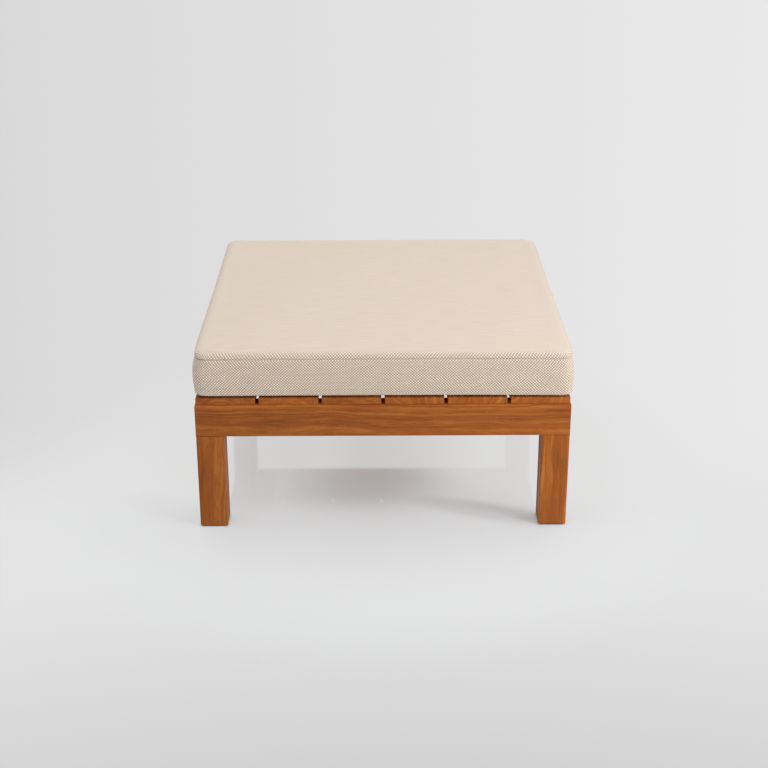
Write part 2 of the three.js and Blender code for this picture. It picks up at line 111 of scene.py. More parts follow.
surround_ground = (-0.605, -0.49, 0.645, 0.775)
surround_meeting = (-0.46, -0.385, 0, 1)
light_rise = (0.05, 0.75, 0, 1)
light_strength = (0, 1, 0.20, 1.30)
light_low_tint = (1.0, 0.98, 0.93)
light_high_tint = (0.965, 1.0, 1.07)
lamp_place = Vector((2.4, -1.8, 1.35))
lamp_aim = Vector((0, 0, 0.2))
lamp_size = 0.9
lamp_power = 43


def emptied(owner):
    """The shader tree of a material or a world, with nothing in it yet."""
    owner.use_nodes = True
    owner.node_tree.nodes.clear()
    return owner.node_tree


def wire(tree, kind, inputs=None, **settings):
    """A new shader node, its inputs set to plain values or joined to other nodes' outputs."""
    node = tree.nodes.new("ShaderNode" + kind)
    for name, value in settings.items():
        setattr(node, name, value)
    for name, value in (inputs or {}).items():
        if isinstance(value, bpy.types.NodeSocket):
            tree.links.new(value, node.inputs[name])
        else:
            node.inputs[name].default_value = value
    return node


def maths(tree, operation, *values):
    """The outcome of one sum on numbers or outputs."""
    return wire(tree, "Math", dict(enumerate(values)), operation=operation).outputs[0]


def in_turn(tree, operation, first, *others):
    """The outcome of one kind of sum on several numbers or outputs in turn."""
    for other in others:
        first = maths(tree, operation, first, other)
    return first


def ramp(tree, value, low, high, from_value, to_value, smooth=True):
    """A value that runs from one number to another while the input crosses a range."""
    interpolation = "SMOOTHSTEP" if smooth else "LINEAR"
    inputs = {"Value": value, "From Min": low, "From Max": high, "To Min": from_value, "To Max": to_value}
    return wire(tree, "MapRange", inputs, interpolation_type=interpolation).outputs["Result"]


def blend(tree, share, first, second):
    """A colour between two plain colours or colour outputs."""
    first, second = ((*colour, 1) if isinstance(colour, tuple) else colour for colour in (first, second))
    return wire(tree, "Mix", {"Factor": share, 6: first, 7: second}, data_type="RGBA").outputs[2]


def overlaid(tree, share, under, over):
    """One surface or light over another."""
    return wire(tree, "MixShader", {0: share, 1: under.outputs[0], 2: over.outputs[0]})


def seen_directly(tree):
    """One on rays from the camera and on rays that metal or glass sends on, so that they show what it shows."""
    rays = wire(tree, "LightPath").outputs
    return in_turn(tree, "MAXIMUM", rays["Is Camera Ray"], rays["Is Glossy Ray"], rays["Is Transmission Ray"])


def surround():
    """The pale surround: light that is strongest from above and, where it is seen, a backdrop and its floor."""
    world = bpy.data.worlds.new("surround")
    tree = emptied(world)
    ways = wire(tree, "SeparateXYZ", {"Vector": wire(tree, "TexCoord").outputs["Generated"]}).outputs
    wall = ramp(tree, ways["X"], *surround_wall, False)
    ground = ramp(tree, ways["Z"], *surround_ground, False)
    upper = ramp(tree, ways["Z"], *surround_meeting)
    lower = maths(tree, "MULTIPLY", ground, maths(tree, "SUBTRACT", 1, upper))
    level = maths(tree, "MULTIPLY_ADD", wall, upper, lower)
    pale = wire(tree, "CombineColor", {0: level, 1: level, 2: level}).outputs[0]
    rise = ramp(tree, ways["Z"], *light_rise)
    tint = blend(tree, rise, light_low_tint, light_high_tint)
    light = wire(tree, "Background", {"Color": tint, "Strength": ramp(tree, rise, *light_strength, False)})
    both = overlaid(tree, seen_directly(tree), light, wire(tree, "Background", {"Color": pale}))
    wire(tree, "OutputWorld", {"Surface": both.outputs[0]})
    return world


def pale_floor():
    """The floor's finish: matt and pale, with a lightened shadow, and a little shiny under the stool. Where it
    is seen far from the stool or from below, it is clear."""
    material = bpy.data.materials.new("pale_floor")
    tree = emptied(material)
    seen = seen_directly(tree)
    place = wire(tree, "TexCoord").outputs["Object"]
    parts = wire(tree, "SeparateXYZ", {"Vector": place}).outputs
    right, back = parts["X"], parts["Y"]

    aside = in_turn(tree, "ADD", *(ramp(tree, right, *more) for more in shadow_lift_aside))
    least = ramp(tree, back, *shadow_lift)
    lift = maths(tree, "MULTIPLY_ADD", aside, ramp(tree, back, *shadow_lift_back), least)
    spot = {"Vector": place, "Location": leg_shadow["place"], "Scale": leg_shadow["reach"]}
    spot["Rotation"] = (0, 0, leg_shadow["turn"])
    beside = wire(tree, "Mapping", spot, vector_type="TEXTURE").outputs[0]
    beside = wire(tree, "VectorMath", {0: beside}, operation="LENGTH").outputs["Value"]
    lift = maths(tree, "SUBTRACT", lift, ramp(tree, beside, *leg_shadow_depth))
    from_foot = []
    for way in (right, back):
        away = maths(tree, "SUBTRACT", maths(tree, "ABSOLUTE", way), foot_place)
        from_foot.append(maths(tree, "ABSOLUTE", away))
    clear_of_feet = ramp(tree, maths(tree, "MAXIMUM", *from_foot), *foot_shadow)
    matt = wire(tree, "BsdfDiffuse", {"Color": floor_colour})
    glow = wire(tree, "Emission", {"Color": floor_glow})
    near = overlaid(tree, in_turn(tree, "MULTIPLY", seen, lift, clear_of_feet), matt, glow)

    off_middle = maths(tree, "ABSOLUTE", maths(tree, "SUBTRACT", right, shine_middle_x))
    shine = maths(tree, "MAXIMUM", ramp(tree, off_middle, *shine_aside), ramp(tree, right, *shine_left))
    within = [ramp(tree, maths(tree, "ABSOLUTE", right), *shine_edge)]
    within += [ramp(tree, back, *change) for change in (shine_front, shine_rear)]
    tilt = wire(tree, "CombineXYZ", {"Y": shine_tilt, "Z": 1}).outputs[0]
    gloss = wire(tree, "BsdfGlossy", {"Color": (1, 1, 1, 1), "Roughness": shine_roughness, "Normal": tilt})
    shiny = overlaid(tree, in_turn(tree, "MULTIPLY", shine, *within), near, gloss)

    reach = wire(tree, "VectorMath", {0: place, 1: floor_middle}, operation="DISTANCE").outputs["Value"]
    below = wire(tree, "NewGeometry").outputs["Backfacing"]
    far = maths(tree, "MULTIPLY", seen, maths(tree, "MAXIMUM", below, ramp(tree, reach, *floor_fade)))
    both = overlaid(tree, far, shiny, wire(tree, "BsdfTransparent"))
    wire(tree, "OutputMaterial", {"Surface": both.outputs[0]})
    return material


def new_piece(name, shape):
    """Makes a finished bmesh an object at the origin."""
    mesh = bpy.data.meshes.new(name)
    shape.to_mesh(mesh)
    shape.free()
    piece = bpy.data.objects.new(name, mesh)
    bpy.context.scene.collection.objects.link(piece)
    return piece


bpy.context.scene.world = surround()
disc = bmesh.new()
bmesh.ops.create_circle(disc, cap_ends=True, segments=floor_sides, radius=floor_radius)
floor = new_piece("floor", disc)
floor.data.materials.append(pale_floor())
floor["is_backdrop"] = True

light = bpy.data.lights.new("lamp_right", "AREA")
light.shape = "DISK"
light.size = lamp_size
light.energy = lamp_power
lamp = bpy.data.objects.new("lamp_right", light)
towards = (lamp_aim - lamp_place).to_track_quat("-Z", "Y").to_matrix().to_4x4()
lamp.matrix_world = Matrix.Translation(lamp_place) @ towards
bpy.context.scene.collection.objects.link(lamp)

# Front and rear rails. Planed teak boards that run the full width of the frame, with rounded edges and oiled.
# They are mortised from below for the legs and from behind for the side rails, and bored for the deck screws.
edge_steps = 5
rail_edge = 0.0013
rail_lower_edge = 0.001
# The front and rear rails are painted lighter towards the right, a painted light ramp for the lamp there.
rail_grain = {"tone_and_painted_light": 0.965, "pith": (0.012, 0.10), "slant": (0.0, 0.006), "painted_light_ramp": 0.09}
rail_top_painted_highlight = 1.3
joint_gap = 0.0003
leg_tenon = {"side": 0.024, "height": 0.032}
rail_tenon = {"thickness": 0.012, "height": 0.018, "length": 0.022, "drop": 0.008}
slat_screw = {"length": 0.035, "shank": 0.0045, "head": 0.009, "head_depth": 0.0024, "tip": 0.005}
block_screw = {"length": 0.054, "shank": 0.005, "head": 0.010, "head_depth": 0.0027, "tip": 0.006}
hole_clearance = 0.0003
cut_overrun = 0.002
turned_sides = 24
square_edge = math.radians(60)
smooth_below = math.radians(40)
merge_distance = 1e-6
square_on = 0.99

teak_dark = (0.205, 0.052, 0.0088)
teak_middle = (0.340, 0.096, 0.0172)
teak_light = (0.500, 0.168, 0.0325)
teak_pore = (0.120, 0.031, 0.007)

logs = random.Random(11)
log_reach = (0.05, 0.12)
log_slant = (-0.02, 0.02)
log_tone = (0.9, 1.1)
log_length = 40


def plain_box(shape, corner, opposite):
    """Adds a plain box between two opposite corners to a shape."""
    corner, opposite = Vector(corner), Vector(opposite)
    made = bmesh.ops.create_cube(shape, size=1)["verts"]
    bmesh.ops.scale(shape, vec=[abs(side) for side in opposite - corner], verts=made)
    bmesh.ops.translate(shape, vec=(corner + opposite) / 2, verts=made)


def round_off(shape, edges, radius, steps):
    """Rounds some edges of a shape."""
    bmesh.ops.bevel(
        shape, geom=edges, offset=radius, offset_type="OFFSET", affect="EDGES",
        segments=steps, profile=0.5, material=-1,
    )


def sharp(shape):
    return [e for e in shape.edges if e.calc_face_angle() > square_edge]


def planed(low, high, edge, steps=edge_steps, lower_edge=None):
    """A planed board between two corners, with all its edges rounded, those of its underside less if asked."""
    board = bmesh.new()
    plain_box(board, low, high)
    if lower_edge:
        underside = [e for e in board.edges if max(v.co.z for v in e.verts) < low[2] + merge_distance]
        round_off(board, underside, lower_edge, steps)
    round_off(board, sharp(board), edge, steps)
    return board


def turned(shape, outline, sides=turned_sides):
    """Turns an outline of (radius, height) pairs round Z inside a bmesh, and returns the new vertices."""
    points = [shape.verts.new((radius, 0, height)) for radius, height in outline]
    lines = [shape.edges.new(pair) for pair in zip(points, points[1:])]
    bmesh.ops.spin(
        shape, geom=points + lines, cent=(0, 0, 0), axis=(0, 0, 1),
        angle=math.tau, steps=sides, use_merge=True,
    )
    everything = set(points) | {v for f in shape.faces for v in f.verts if not f.tag}
    for face in shape.faces:
        face.tag = True
    return [v for v in everything if v.is_valid]


def mended(shape):
    """Merges a shape's doubles and points its faces outwards."""
    bmesh.ops.remove_doubles(shape, verts=shape.verts, dist=merge_distance)
    bmesh.ops.recalc_face_normals(shape, faces=shape.faces)


def along_way(head, along):
    """The place of something made along -Z from the origin that is to run from a head along a way."""
    return Matrix.Translation(head) @ Vector(along).to_track_quat("-Z", "Y").to_matrix().to_4x4()


def screw_hole(cutters, screw, head, along=(0, 0, -1)):
    """Adds the shape of a countersunk screw's hole, open above its head, that runs from there along a way."""
    shank = screw["shank"] / 2 + hole_clearance
    rim = screw["head"] / 2 + hole_clearance
    outline = [
        (0, cut_overrun),
        (rim, cut_overrun),
        (rim, -hole_clearance),
        (shank, -screw["head_depth"] - hole_clearance),
        (shank, screw["tip"] - screw["length"]),
        (0, -screw["length"] - hole_clearance),
    ]
    bmesh.ops.transform(cutters, matrix=along_way(head, along), verts=turned(cutters, outline))


def baked(piece):
    """Gives a piece the mesh that its modifiers make of it."""
    done = bpy.data.meshes.new_from_object(piece.evaluated_get(bpy.context.evaluated_depsgraph_get()))
    piece.modifiers.clear()
    piece.data = done


def combined(piece, tool, operation):
    """Joins another piece onto a piece or cuts it out, and removes that other piece."""
    change = piece.modifiers.new("change", "BOOLEAN")
    change.operation = operation
    change.solver = "EXACT"
    change.object = tool
    baked(piece)
    bpy.data.objects.remove(tool)


def carved(name, board, cutters):
    """Cuts the cutters out of a board and gives the finished object."""
    piece = new_piece(name, board)
    mended(cutters)
    combined(piece, new_piece("cutter", cutters), "DIFFERENCE")
    return piece


def finish(piece, material):
    """Shades the rounded edges smooth, keeps the flat faces flat, and gives the piece its finish."""
    piece.data.shade_smooth()
    piece.data.set_sharp_from_angle(angle=smooth_below)
    piece.modifiers.new("flat_faces", "WEIGHTED_NORMAL").keep_sharp = True
    piece.data.materials.append(material)


def lay_grain(piece, lengthwise, edge, tone_and_painted_light=None, pith=None, slant=None, painted_light_ramp=0):
    """Stores where each point of a board lay in its log, so that the grain runs through the board as in timber.
    The pith is how far the log's middle is from the board's, the slant is how much it wanders along it, the tone
    also carries painted light and shade, and the painted light ramp is how much lighter the wood is painted
    towards its far end, as the lamp on the right would make it."""
    order = {"X": (0, 1, 2), "Y": (1, 0, 2), "Z": (2, 0, 1)}[lengthwise]
    turn = logs.uniform(0, math.tau)
    reach = logs.uniform(*log_reach)
    drawn_pith = (reach * math.cos(turn), reach * math.sin(turn))
    drawn_slant = (logs.uniform(*log_slant), logs.uniform(*log_slant))
    drawn_tone = logs.uniform(*log_tone)
    start = logs.uniform(0, log_length)
    pith = pith or drawn_pith
    slant = slant or drawn_slant
    tone_and_painted_light = tone_and_painted_light or drawn_tone
    mesh = piece.data
    low = Vector([min(corner[i] for corner in piece.bound_box) for i in range(3)])
    high = Vector([max(corner[i] for corner in piece.bound_box) for i in range(3)])
    middle, half = (low + high) / 2, (high - low) / 2
    for name, kind in (("grain", "FLOAT_VECTOR"), ("edge_wear_and_highlight", "FLOAT"), ("tone_and_painted_light", "FLOAT")):
        mesh.attributes.new(name, kind, "POINT")
    grain, edge_wear_and_highlight, tones = (mesh.attributes[name] for name in ("grain", "edge_wear_and_highlight", "tone_and_painted_light"))
    for index, vertex in enumerate(mesh.vertices):
        local = vertex.co - middle
        along, side, rise = (local[i] for i in order)
        grain.data[index].vector = (
            along + start,
            side + pith[0] + slant[0] * along,
            rise + pith[1] + slant[1] * along,
        )
        from_faces = sorted(half[i] - abs(local[i]) for i in range(3))
        edge_wear_and_highlight.data[index].value = max(0, 1 - (from_faces[0] + from_faces[1]) / edge)
        tones.data[index].value = tone_and_painted_light + painted_light_ramp * along / half[order[0]]


def noise(tree, way, scale=1, detail=2, roughness=0.5):
    """A soft pattern on a place, from 0 to 1. Three scales stretch it and one number doesn't."""
    if isinstance(scale, tuple):
        way = wire(tree, "Mapping", {"Vector": way, "Scale": scale}).outputs[0]
        scale = 1
    inputs = {"Vector": way, "Scale": scale, "Detail": detail, "Roughness": roughness}
    return wire(tree, "TexNoise", inputs).outputs["Fac"]


def scaled(tree, way, scale):
    return wire(tree, "VectorMath", {0: way, "Scale": scale}, operation="SCALE").outputs[0]


def surfaced(tree, inputs, relief, strength, depth):
    """Ends a finish with its surface, whose relief has a strength and a depth."""
    bump = wire(tree, "Bump", {"Strength": strength, "Distance": depth, "Height": relief}).outputs[0]
    surface = wire(tree, "BsdfPrincipled", {**inputs, "Normal": bump})
    wire(tree, "OutputMaterial", {"Surface": surface.outputs[0]})


def oiled_teak():
    """Oiled teak: growth rings round the log's middle, long fibres, short dark pores, and eased edges made
    paler, part wear and part painted highlight.
    """
    material = bpy.data.materials.new("oiled_teak")
    tree = emptied(material)
    grain = wire(tree, "Attribute", attribute_name="grain").outputs["Vector"]
    tone_and_painted_light = wire(tree, "Attribute", attribute_name="tone_and_painted_light").outputs["Fac"]
    edge_wear_and_highlight = wire(tree, "Attribute", attribute_name="edge_wear_and_highlight").outputs["Fac"]

    along = wire(tree, "Mapping", {"Vector": grain, "Scale": (4, 12, 12)}).outputs[0]
    sway = wire(tree, "TexNoise", {"Vector": along, "Scale": 1, "Detail": 2}).outputs["Color"]
    sway = wire(tree, "VectorMath", {0: sway, 1: (0.5, 0.5, 0.5)}, operation="SUBTRACT").outputs[0]
    sway = wire(tree, "VectorMath", {0: sway, 1: (0, 0.035, 0.035)}, operation="MULTIPLY").outputs[0]
    swayed = wire(tree, "VectorMath", {0: grain, 1: sway}, operation="ADD").outputs[0]
    parts = wire(tree, "SeparateXYZ", {"Vector": swayed}).outputs
    square = maths(tree, "MULTIPLY", parts["Y"], parts["Y"])
    radius = maths(tree, "SQRT", maths(tree, "MULTIPLY_ADD", parts["Z"], parts["Z"], square))
    rings = {"W": radius, "Scale": 120, "Detail": 2, "Roughness": 0.6}
    rings = wire(tree, "TexNoise", rings, noise_dimensions="1D")
    years = wire(tree, "TexNoise", {"W": radius, "Scale": 45, "Detail": 0}, noise_dimensions="1D")
    wisps = noise(tree, swayed, (12, 105, 105), 3, 0.55)
    broad = noise(tree, swayed, (2.6, 24, 24), 1)
    fibre = noise(tree, swayed, (9, 620, 620), 2, 0.6)
    late = noise(tree, swayed, (24, 430, 430), 1)
    pore = noise(tree, swayed, (55, 1700, 1700), 1)

    mixed = maths(tree, "MULTIPLY", rings.outputs["Fac"], 0.26)
    for pattern, share in ((wisps, 0.34), (broad, 0.28), (fibre, 0.12)):
        mixed = maths(tree, "MULTIPLY_ADD", pattern, share, mixed)
    colours = wire(tree, "ValToRGB", {"Fac": mixed})
    band = colours.color_ramp
    band.elements[0].position = 0.34
    band.elements[0].color = (*teak_dark, 1)
    band.elements[1].position = 0.66
    band.elements[1].color = (*teak_light, 1)
    band.elements.new(0.50).color = (*teak_middle, 1)
    off_line = maths(tree, "ABSOLUTE", maths(tree, "SUBTRACT", years.outputs["Fac"], 0.5))
    year = ramp(tree, off_line, 0.015, 0.06, 0.62, 0)
    year = maths(tree, "MULTIPLY", year, ramp(tree, wisps, 0.40, 0.58, 0.15, 1))
    line = maths(tree, "MAXIMUM", year, ramp(tree, late, 0.62, 0.74, 0, 0.45))
    dots = ramp(tree, pore, 0.60, 0.72, 0, 0.55)
    colour = blend(tree, line, colours.outputs["Color"], teak_dark)
    colour = blend(tree, dots, colour, teak_pore)
    # The eased edges are made paler, part wear and part painted highlight.
    colour = blend(tree, maths(tree, "MULTIPLY", edge_wear_and_highlight, 0.15), colour, teak_light)
    # The board's tone, which also carries painted light and shade, scales the colour.
    inputs = {"Base Color": scaled(tree, colour, tone_and_painted_light), "Roughness": ramp(tree, mixed, 0.4, 0.6, 0.60, 0.48)}
    relief = maths(tree, "SUBTRACT", maths(tree, "MULTIPLY", fibre, 0.5), dots)
    surfaced(tree, {**inputs, "Specular IOR Level": 0.12}, relief, 0.35, 0.0002)
    return material


def centre(box):
    return (box[0] + box[1]) / 2


def block_screw_line(corner, number):
    """Where the head of a corner block's screw is, and the way that the screw points."""
    middle = centre(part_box(f"block_screw_{corner}_{number}"))
    axis = 1 if number == 1 else 0
    along = Vector()
    along[axis] = math.copysign(1, middle[axis])
    return middle - along * block_screw["length"] / 2, along


teak = oiled_teak()
rails = {side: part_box(f"rail_{side}") for side in ("front", "rear", "left", "right")}
rail_bottom, rail_top = (corner.z for corner in rails["front"])
slats = [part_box(f"slat_{number}") for number in range(1, 7)]
deck_heads = []
for number, slat_box in enumerate(slats, 1):
    spots = [centre(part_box(f"slat_{number}_screw_{screw}")) for screw in range(1, 5)]
    spots.append(Vector((centre(slat_box).x, 0, 0)))
    deck_heads.append([Vector((spot.x, spot.y, slat_box[1].z)) for spot in spots])

for end, way in (("front", -1), ("rear", 1)):
    low, high = rails[end]
    cutters = bmesh.new()
    for side in ("left", "right"):
        leg_x = centre(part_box(f"leg_{end}_{side}")).x
        middle_y = centre(rails[end]).y
        hole = leg_tenon["side"] / 2 + joint_gap
        plain_box(
            cutters,
            (leg_x - hole, middle_y - hole, low.z - cut_overrun),
            (leg_x + hole, middle_y + hole, low.z + leg_tenon["height"] + joint_gap),
        )
        side_x = centre(rails[side]).x
        half = rail_tenon["thickness"] / 2 + joint_gap
        inner_y = high.y if way < 0 else low.y
        tenon_top = rail_top - rail_tenon["drop"]
        plain_box(
            cutters,
            (side_x - half, inner_y - way * cut_overrun, tenon_top - rail_tenon["height"] - joint_gap),
            (side_x + half, inner_y + way * (rail_tenon["length"] + joint_gap), tenon_top + joint_gap),
        )
        screw_hole(cutters, block_screw, *block_screw_line(f"{end}_{side}", 1))
    for head in sum(deck_heads, []):
        if low.y < head.y < high.y:
            screw_hole(cutters, slat_screw, head)
    rail = carved(f"{end}_rail", planed(low, high, rail_edge, lower_edge=rail_lower_edge), cutters)
    lay_grain(rail, "X", rail_edge, **rail_grain)
    # Painted highlight: the top face of each rail, where a thin strip shows in front of the slat ends, is made
    # lighter.
    for index, vertex in enumerate(rail.data.vertices):
        if vertex.co.z > high.z - rail_edge / 10:
            rail.data.attributes["tone_and_painted_light"].data[index].value *= rail_top_painted_highlight
    finish(rail, teak)
    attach(rail, "frame")
    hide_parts(f"rail_{end}")

# Side rails. They are cut between the front and rear rails, with a tenon at each end that is glued into them.
# Each has a slot inside for the centre bearer, and holes for the screws of two corner blocks.
bearer_tenon = {"width": 0.014, "height": 0.024, "length": 0.018}
bearer_low, bearer_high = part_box("centre_bearer")
bearer_z = centre(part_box("centre_bearer")).z


def tenon(board, way, low, high, reach):
    """Draws a tenon out of the flat end of a board, between two corners of its section."""
    way = Vector(way)
    end = max((f for f in board.faces if f.normal.dot(way) > square_on), key=lambda f: f.calc_area())
    bmesh.ops.inset_individual(board, faces=[end], thickness=joint_gap)
    for vertex in end.verts:
        for axis in range(3):
            if not way[axis]:
                vertex.co[axis] = high[axis] if vertex.co[axis] > end.calc_center_bounds()[axis] else low[axis]
    grown = bmesh.ops.extrude_discrete_faces(board, faces=[end])["faces"]
    bmesh.ops.translate(board, vec=way * reach, verts=grown[0].verts)


for side, way in (("left", -1), ("right", 1)):
    low, high = rails[side]
    near_y = rails["front"][1].y + joint_gap
    far_y = rails["rear"][0].y - joint_gap
    board = planed((low.x, near_y, low.z), (high.x, far_y, high.z), rail_edge)
    middle_x = centre(rails[side]).x
    tenon_top = high.z - rail_tenon["drop"]
    tenon_low = (middle_x - rail_tenon["thickness"] / 2, 0, tenon_top - rail_tenon["height"])
    tenon_high = (middle_x + rail_tenon["thickness"] / 2, 0, tenon_top)
    tenon(board, (0, -1, 0), tenon_low, tenon_high, near_y - low.y)
    tenon(board, (0, 1, 0), tenon_low, tenon_high, high.y - far_y)
    cutters = bmesh.new()
    inner_x = low.x if way > 0 else high.x
    half_width = bearer_tenon["width"] / 2 + joint_gap
    half_height = bearer_tenon["height"] / 2 + joint_gap
    plain_box(
        cutters,
        (inner_x - way * cut_overrun, -half_width, bearer_z - half_height),
        (inner_x + way * (bearer_tenon["length"] + joint_gap), half_width, bearer_z + half_height),
    )
    for end in ("front", "rear"):
        screw_hole(cutters, block_screw, *block_screw_line(f"{end}_{side}", 2))
    rail = carved(f"{side}_rail", board, cutters)
    lay_grain(rail, "Y", rail_edge)
    finish(rail, teak)
    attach(rail, "frame")
    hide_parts(f"rail_{side}")

# Centre bearer. A square teak bar under the middle of the slats, tenoned into the side rails.
# Each slat is held down to it by one screw.
bearer_edge = 0.002

near_x = rails["left"][1].x + joint_gap
far_x = rails["right"][0].x - joint_gap
board = planed((near_x, bearer_low.y, bearer_low.z), (far_x, bearer_high.y, bearer_high.z), bearer_edge)
tenon_low = (0, -bearer_tenon["width"] / 2, bearer_z - bearer_tenon["height"] / 2)
tenon_high = (0, bearer_tenon["width"] / 2, bearer_z + bearer_tenon["height"] / 2)
tenon(board, (-1, 0, 0), tenon_low, tenon_high, near_x - bearer_low.x)
tenon(board, (1, 0, 0), tenon_low, tenon_high, bearer_high.x - far_x)
cutters = bmesh.new()
for heads in deck_heads:
    screw_hole(cutters, slat_screw, heads[-1])
bearer = carved("deck_bearer", board, cutters)
lay_grain(bearer, "X", bearer_edge)
finish(bearer, teak)
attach(bearer, "frame")
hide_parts("centre_bearer")

# Legs. Square teak posts with rounded edges, eased at the foot and cut flat at the top, where a tenon goes up
# into the rail. A hole in the foot takes the glide's pin.
corners = {
    "front_left": (-1, "front"),
    "front_right": (1, "front"),
    "rear_left": (-1, "rear"),
    "rear_right": (1, "rear"),
}
leg_edge = 0.0035
foot_edge = 0.0015
glide_pin = {"diameter": 0.006, "length": 0.016}
# The front legs' tones are painted light and shade: the right one lighter and the left one darker, as the lamp on
# the right makes them.
leg_painted_light_tones = {"front_left": 0.92, "front_right": 1.06}
leg_pith = (0.09, 0.02)
leg_slant = 0.012

for corner, (side, end) in corners.items():
    low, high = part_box(f"leg_{corner}")
    leg_top = rail_bottom - joint_gap
    board = planed(low, (high.x, high.y, leg_top + 2 * leg_edge), leg_edge, lower_edge=foot_edge)
    cut = bmesh.ops.bisect_plane(
        board, geom=board.verts[:] + board.edges[:] + board.faces[:],
        plane_co=(0, 0, leg_top), plane_no=(0, 0, 1), clear_outer=True,
    )
    rim = [item for item in cut["geom_cut"] if isinstance(item, bmesh.types.BMEdge)]
    bmesh.ops.edgeloop_fill(board, edges=rim)
    bmesh.ops.recalc_face_normals(board, faces=board.faces)
    foot = centre((low, high))
    cutters = bmesh.new()
    pin_radius = glide_pin["diameter"] / 2 + joint_gap
    pin_top = low.z + glide_pin["length"]
    pin_foot = low.z - cut_overrun
    turned(cutters, [(0, pin_foot), (pin_radius, pin_foot), (pin_radius, pin_top), (0, pin_top)])
    bmesh.ops.translate(cutters, vec=(foot.x, foot.y, 0), verts=cutters.verts)
    post = carved(f"{corner}_leg", board, cutters)
    tenon_y = centre(rails[end]).y
    half = leg_tenon["side"] / 2
    stub = planed(
        (foot.x - half, tenon_y - half, leg_top - leg_edge),
        (foot.x + half, tenon_y + half, high.z),
        bearer_edge,
    )
    combined(post, new_piece("stub", stub), "UNION")
    pith = (leg_pith[0] * side, leg_pith[1])
    lay_grain(post, "Z", leg_edge, tone_and_painted_light=leg_painted_light_tones.get(corner), pith=pith, slant=(leg_slant * side, 0))
    finish(post, teak)
    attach(post, "frame")
    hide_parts(f"leg_{corner}")

# Foot glides. Discs of black moulded nylon, each in one piece with a pin that is knocked into the middle of a
# foot. They keep the end grain off the wet floor.
glide_edge = 0.0008
nylon_colour = (0.022, 0.021, 0.020)
nylon_scuff = (0.06, 0.06, 0.058)


def moulded_nylon():
    """Dull black moulded nylon, a little scuffed."""
    material = bpy.data.materials.new("moulded_nylon")
    tree = emptied(material)
    scuffs = noise(tree, wire(tree, "TexCoord").outputs["Object"], 900, 3)
    colour = blend(tree, ramp(tree, scuffs, 0.5, 0.8, 0, 1), nylon_colour, nylon_scuff)
    rough = ramp(tree, scuffs, 0.3, 0.7, 0.45, 0.65)
    surfaced(tree, {"Base Color": colour, "Roughness": rough}, scuffs, 0.3, 0.0001)
    return material


nylon = moulded_nylon()
for corner in corners:
    low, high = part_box(f"foot_glide_{corner}")
    disc_radius = (high.x - low.x) / 2
    pin_radius = glide_pin["diameter"] / 2
    disc_top = high.z - glide_pin["length"]
    outline = [
        (0, low.z),
        (disc_radius - glide_edge, low.z),
        (disc_radius - glide_edge / 3, low.z + glide_edge / 3),
        (disc_radius, low.z + glide_edge),
        (disc_radius, disc_top - glide_edge / 3),
        (disc_radius - glide_edge / 3, disc_top),
        (pin_radius, disc_top),
        (pin_radius, high.z - glide_edge),
        (pin_radius - glide_edge, high.z),
        (0, high.z),
    ]
    shape = bmesh.new()
    turned(shape, outline)
    mended(shape)
    bmesh.ops.translate(shape, vec=(*centre((low, high)).xy, 0), verts=shape.verts)
    glide = new_piece(f"{corner}_glide", shape)
    finish(glide, nylon)
    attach(glide, "frame")
    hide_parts(f"foot_glide_{corner}")

# Corner blocks. Short square teak blocks glued into the inner corners of the rails. Two screws go through each,
# one into the front or rear rail and one into a side rail.
block_edge = 0.002

for corner in corners:
    cutters = bmesh.new()
    for number in (1, 2):
        screw_hole(cutters, block_screw, *block_screw_line(corner, number))
    block = carved(f"{corner}_block", planed(*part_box(f"corner_block_{corner}"), block_edge), cutters)
    lay_grain(block, "Z", block_edge)
    finish(block, teak)
    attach(block, "frame")
    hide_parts(f"corner_block_{corner}")

# Deck slats. Six flat teak boards from front to rear on the rails, a finger's width of air between them,
# their ends set back a little from the rails' outer faces. Each is screwed down at both ends and in the middle.
slat_edge = 0.0018
slat_lower_edge = 0.0004
# The slat tones differ at random and also rise towards the sixth slat, which is painted light.
slat_tones_and_painted_light = (1.01, 1.05, 0.93, 1.06, 1.13, 1.21)

for number, ((low, high), heads) in enumerate(zip(slats, deck_heads), 1):
    cutters = bmesh.new()
    for head in heads:
        screw_hole(cutters, slat_screw, head)
    slat = carved(f"deck_slat_{number}", planed(low, high, slat_edge, lower_edge=slat_lower_edge), cutters)
    lay_grain(slat, "Y", slat_edge, tone_and_painted_light=slat_tones_and_painted_light[number - 1])
    finish(slat, teak)
    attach(slat, "frame")
    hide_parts(f"slat_{number}")

# Screws. Stainless countersunk wood screws with a six-lobed drive and a pointed thread: two through each corner
# block, four through each slat into the rails and one into the bearer.
drive_radius_share = 0.42
drive_lobe_share = 0.07
drive_depth_share = 0.55
drive_lobes = 6
thread_pitch = 0.0022
thread_depth = 0.0005
steel_colour = (0.60, 0.59, 0.57)


def marked_metal(name, colour, mark_scale, mark_detail, roughness, strength, depth):
    """Metal with fine marks that make it shine unevenly."""
    material = bpy.data.materials.new(name)
    tree = emptied(material)
    marks = noise(tree, wire(tree, "TexCoord").outputs["Object"], mark_scale, mark_detail)
    inputs = {"Base Color": (*colour, 1), "Metallic": 1, "Roughness": ramp(tree, marks, 0.3, 0.7, *roughness)}
    surfaced(tree, inputs, marks, strength, depth)
    return material


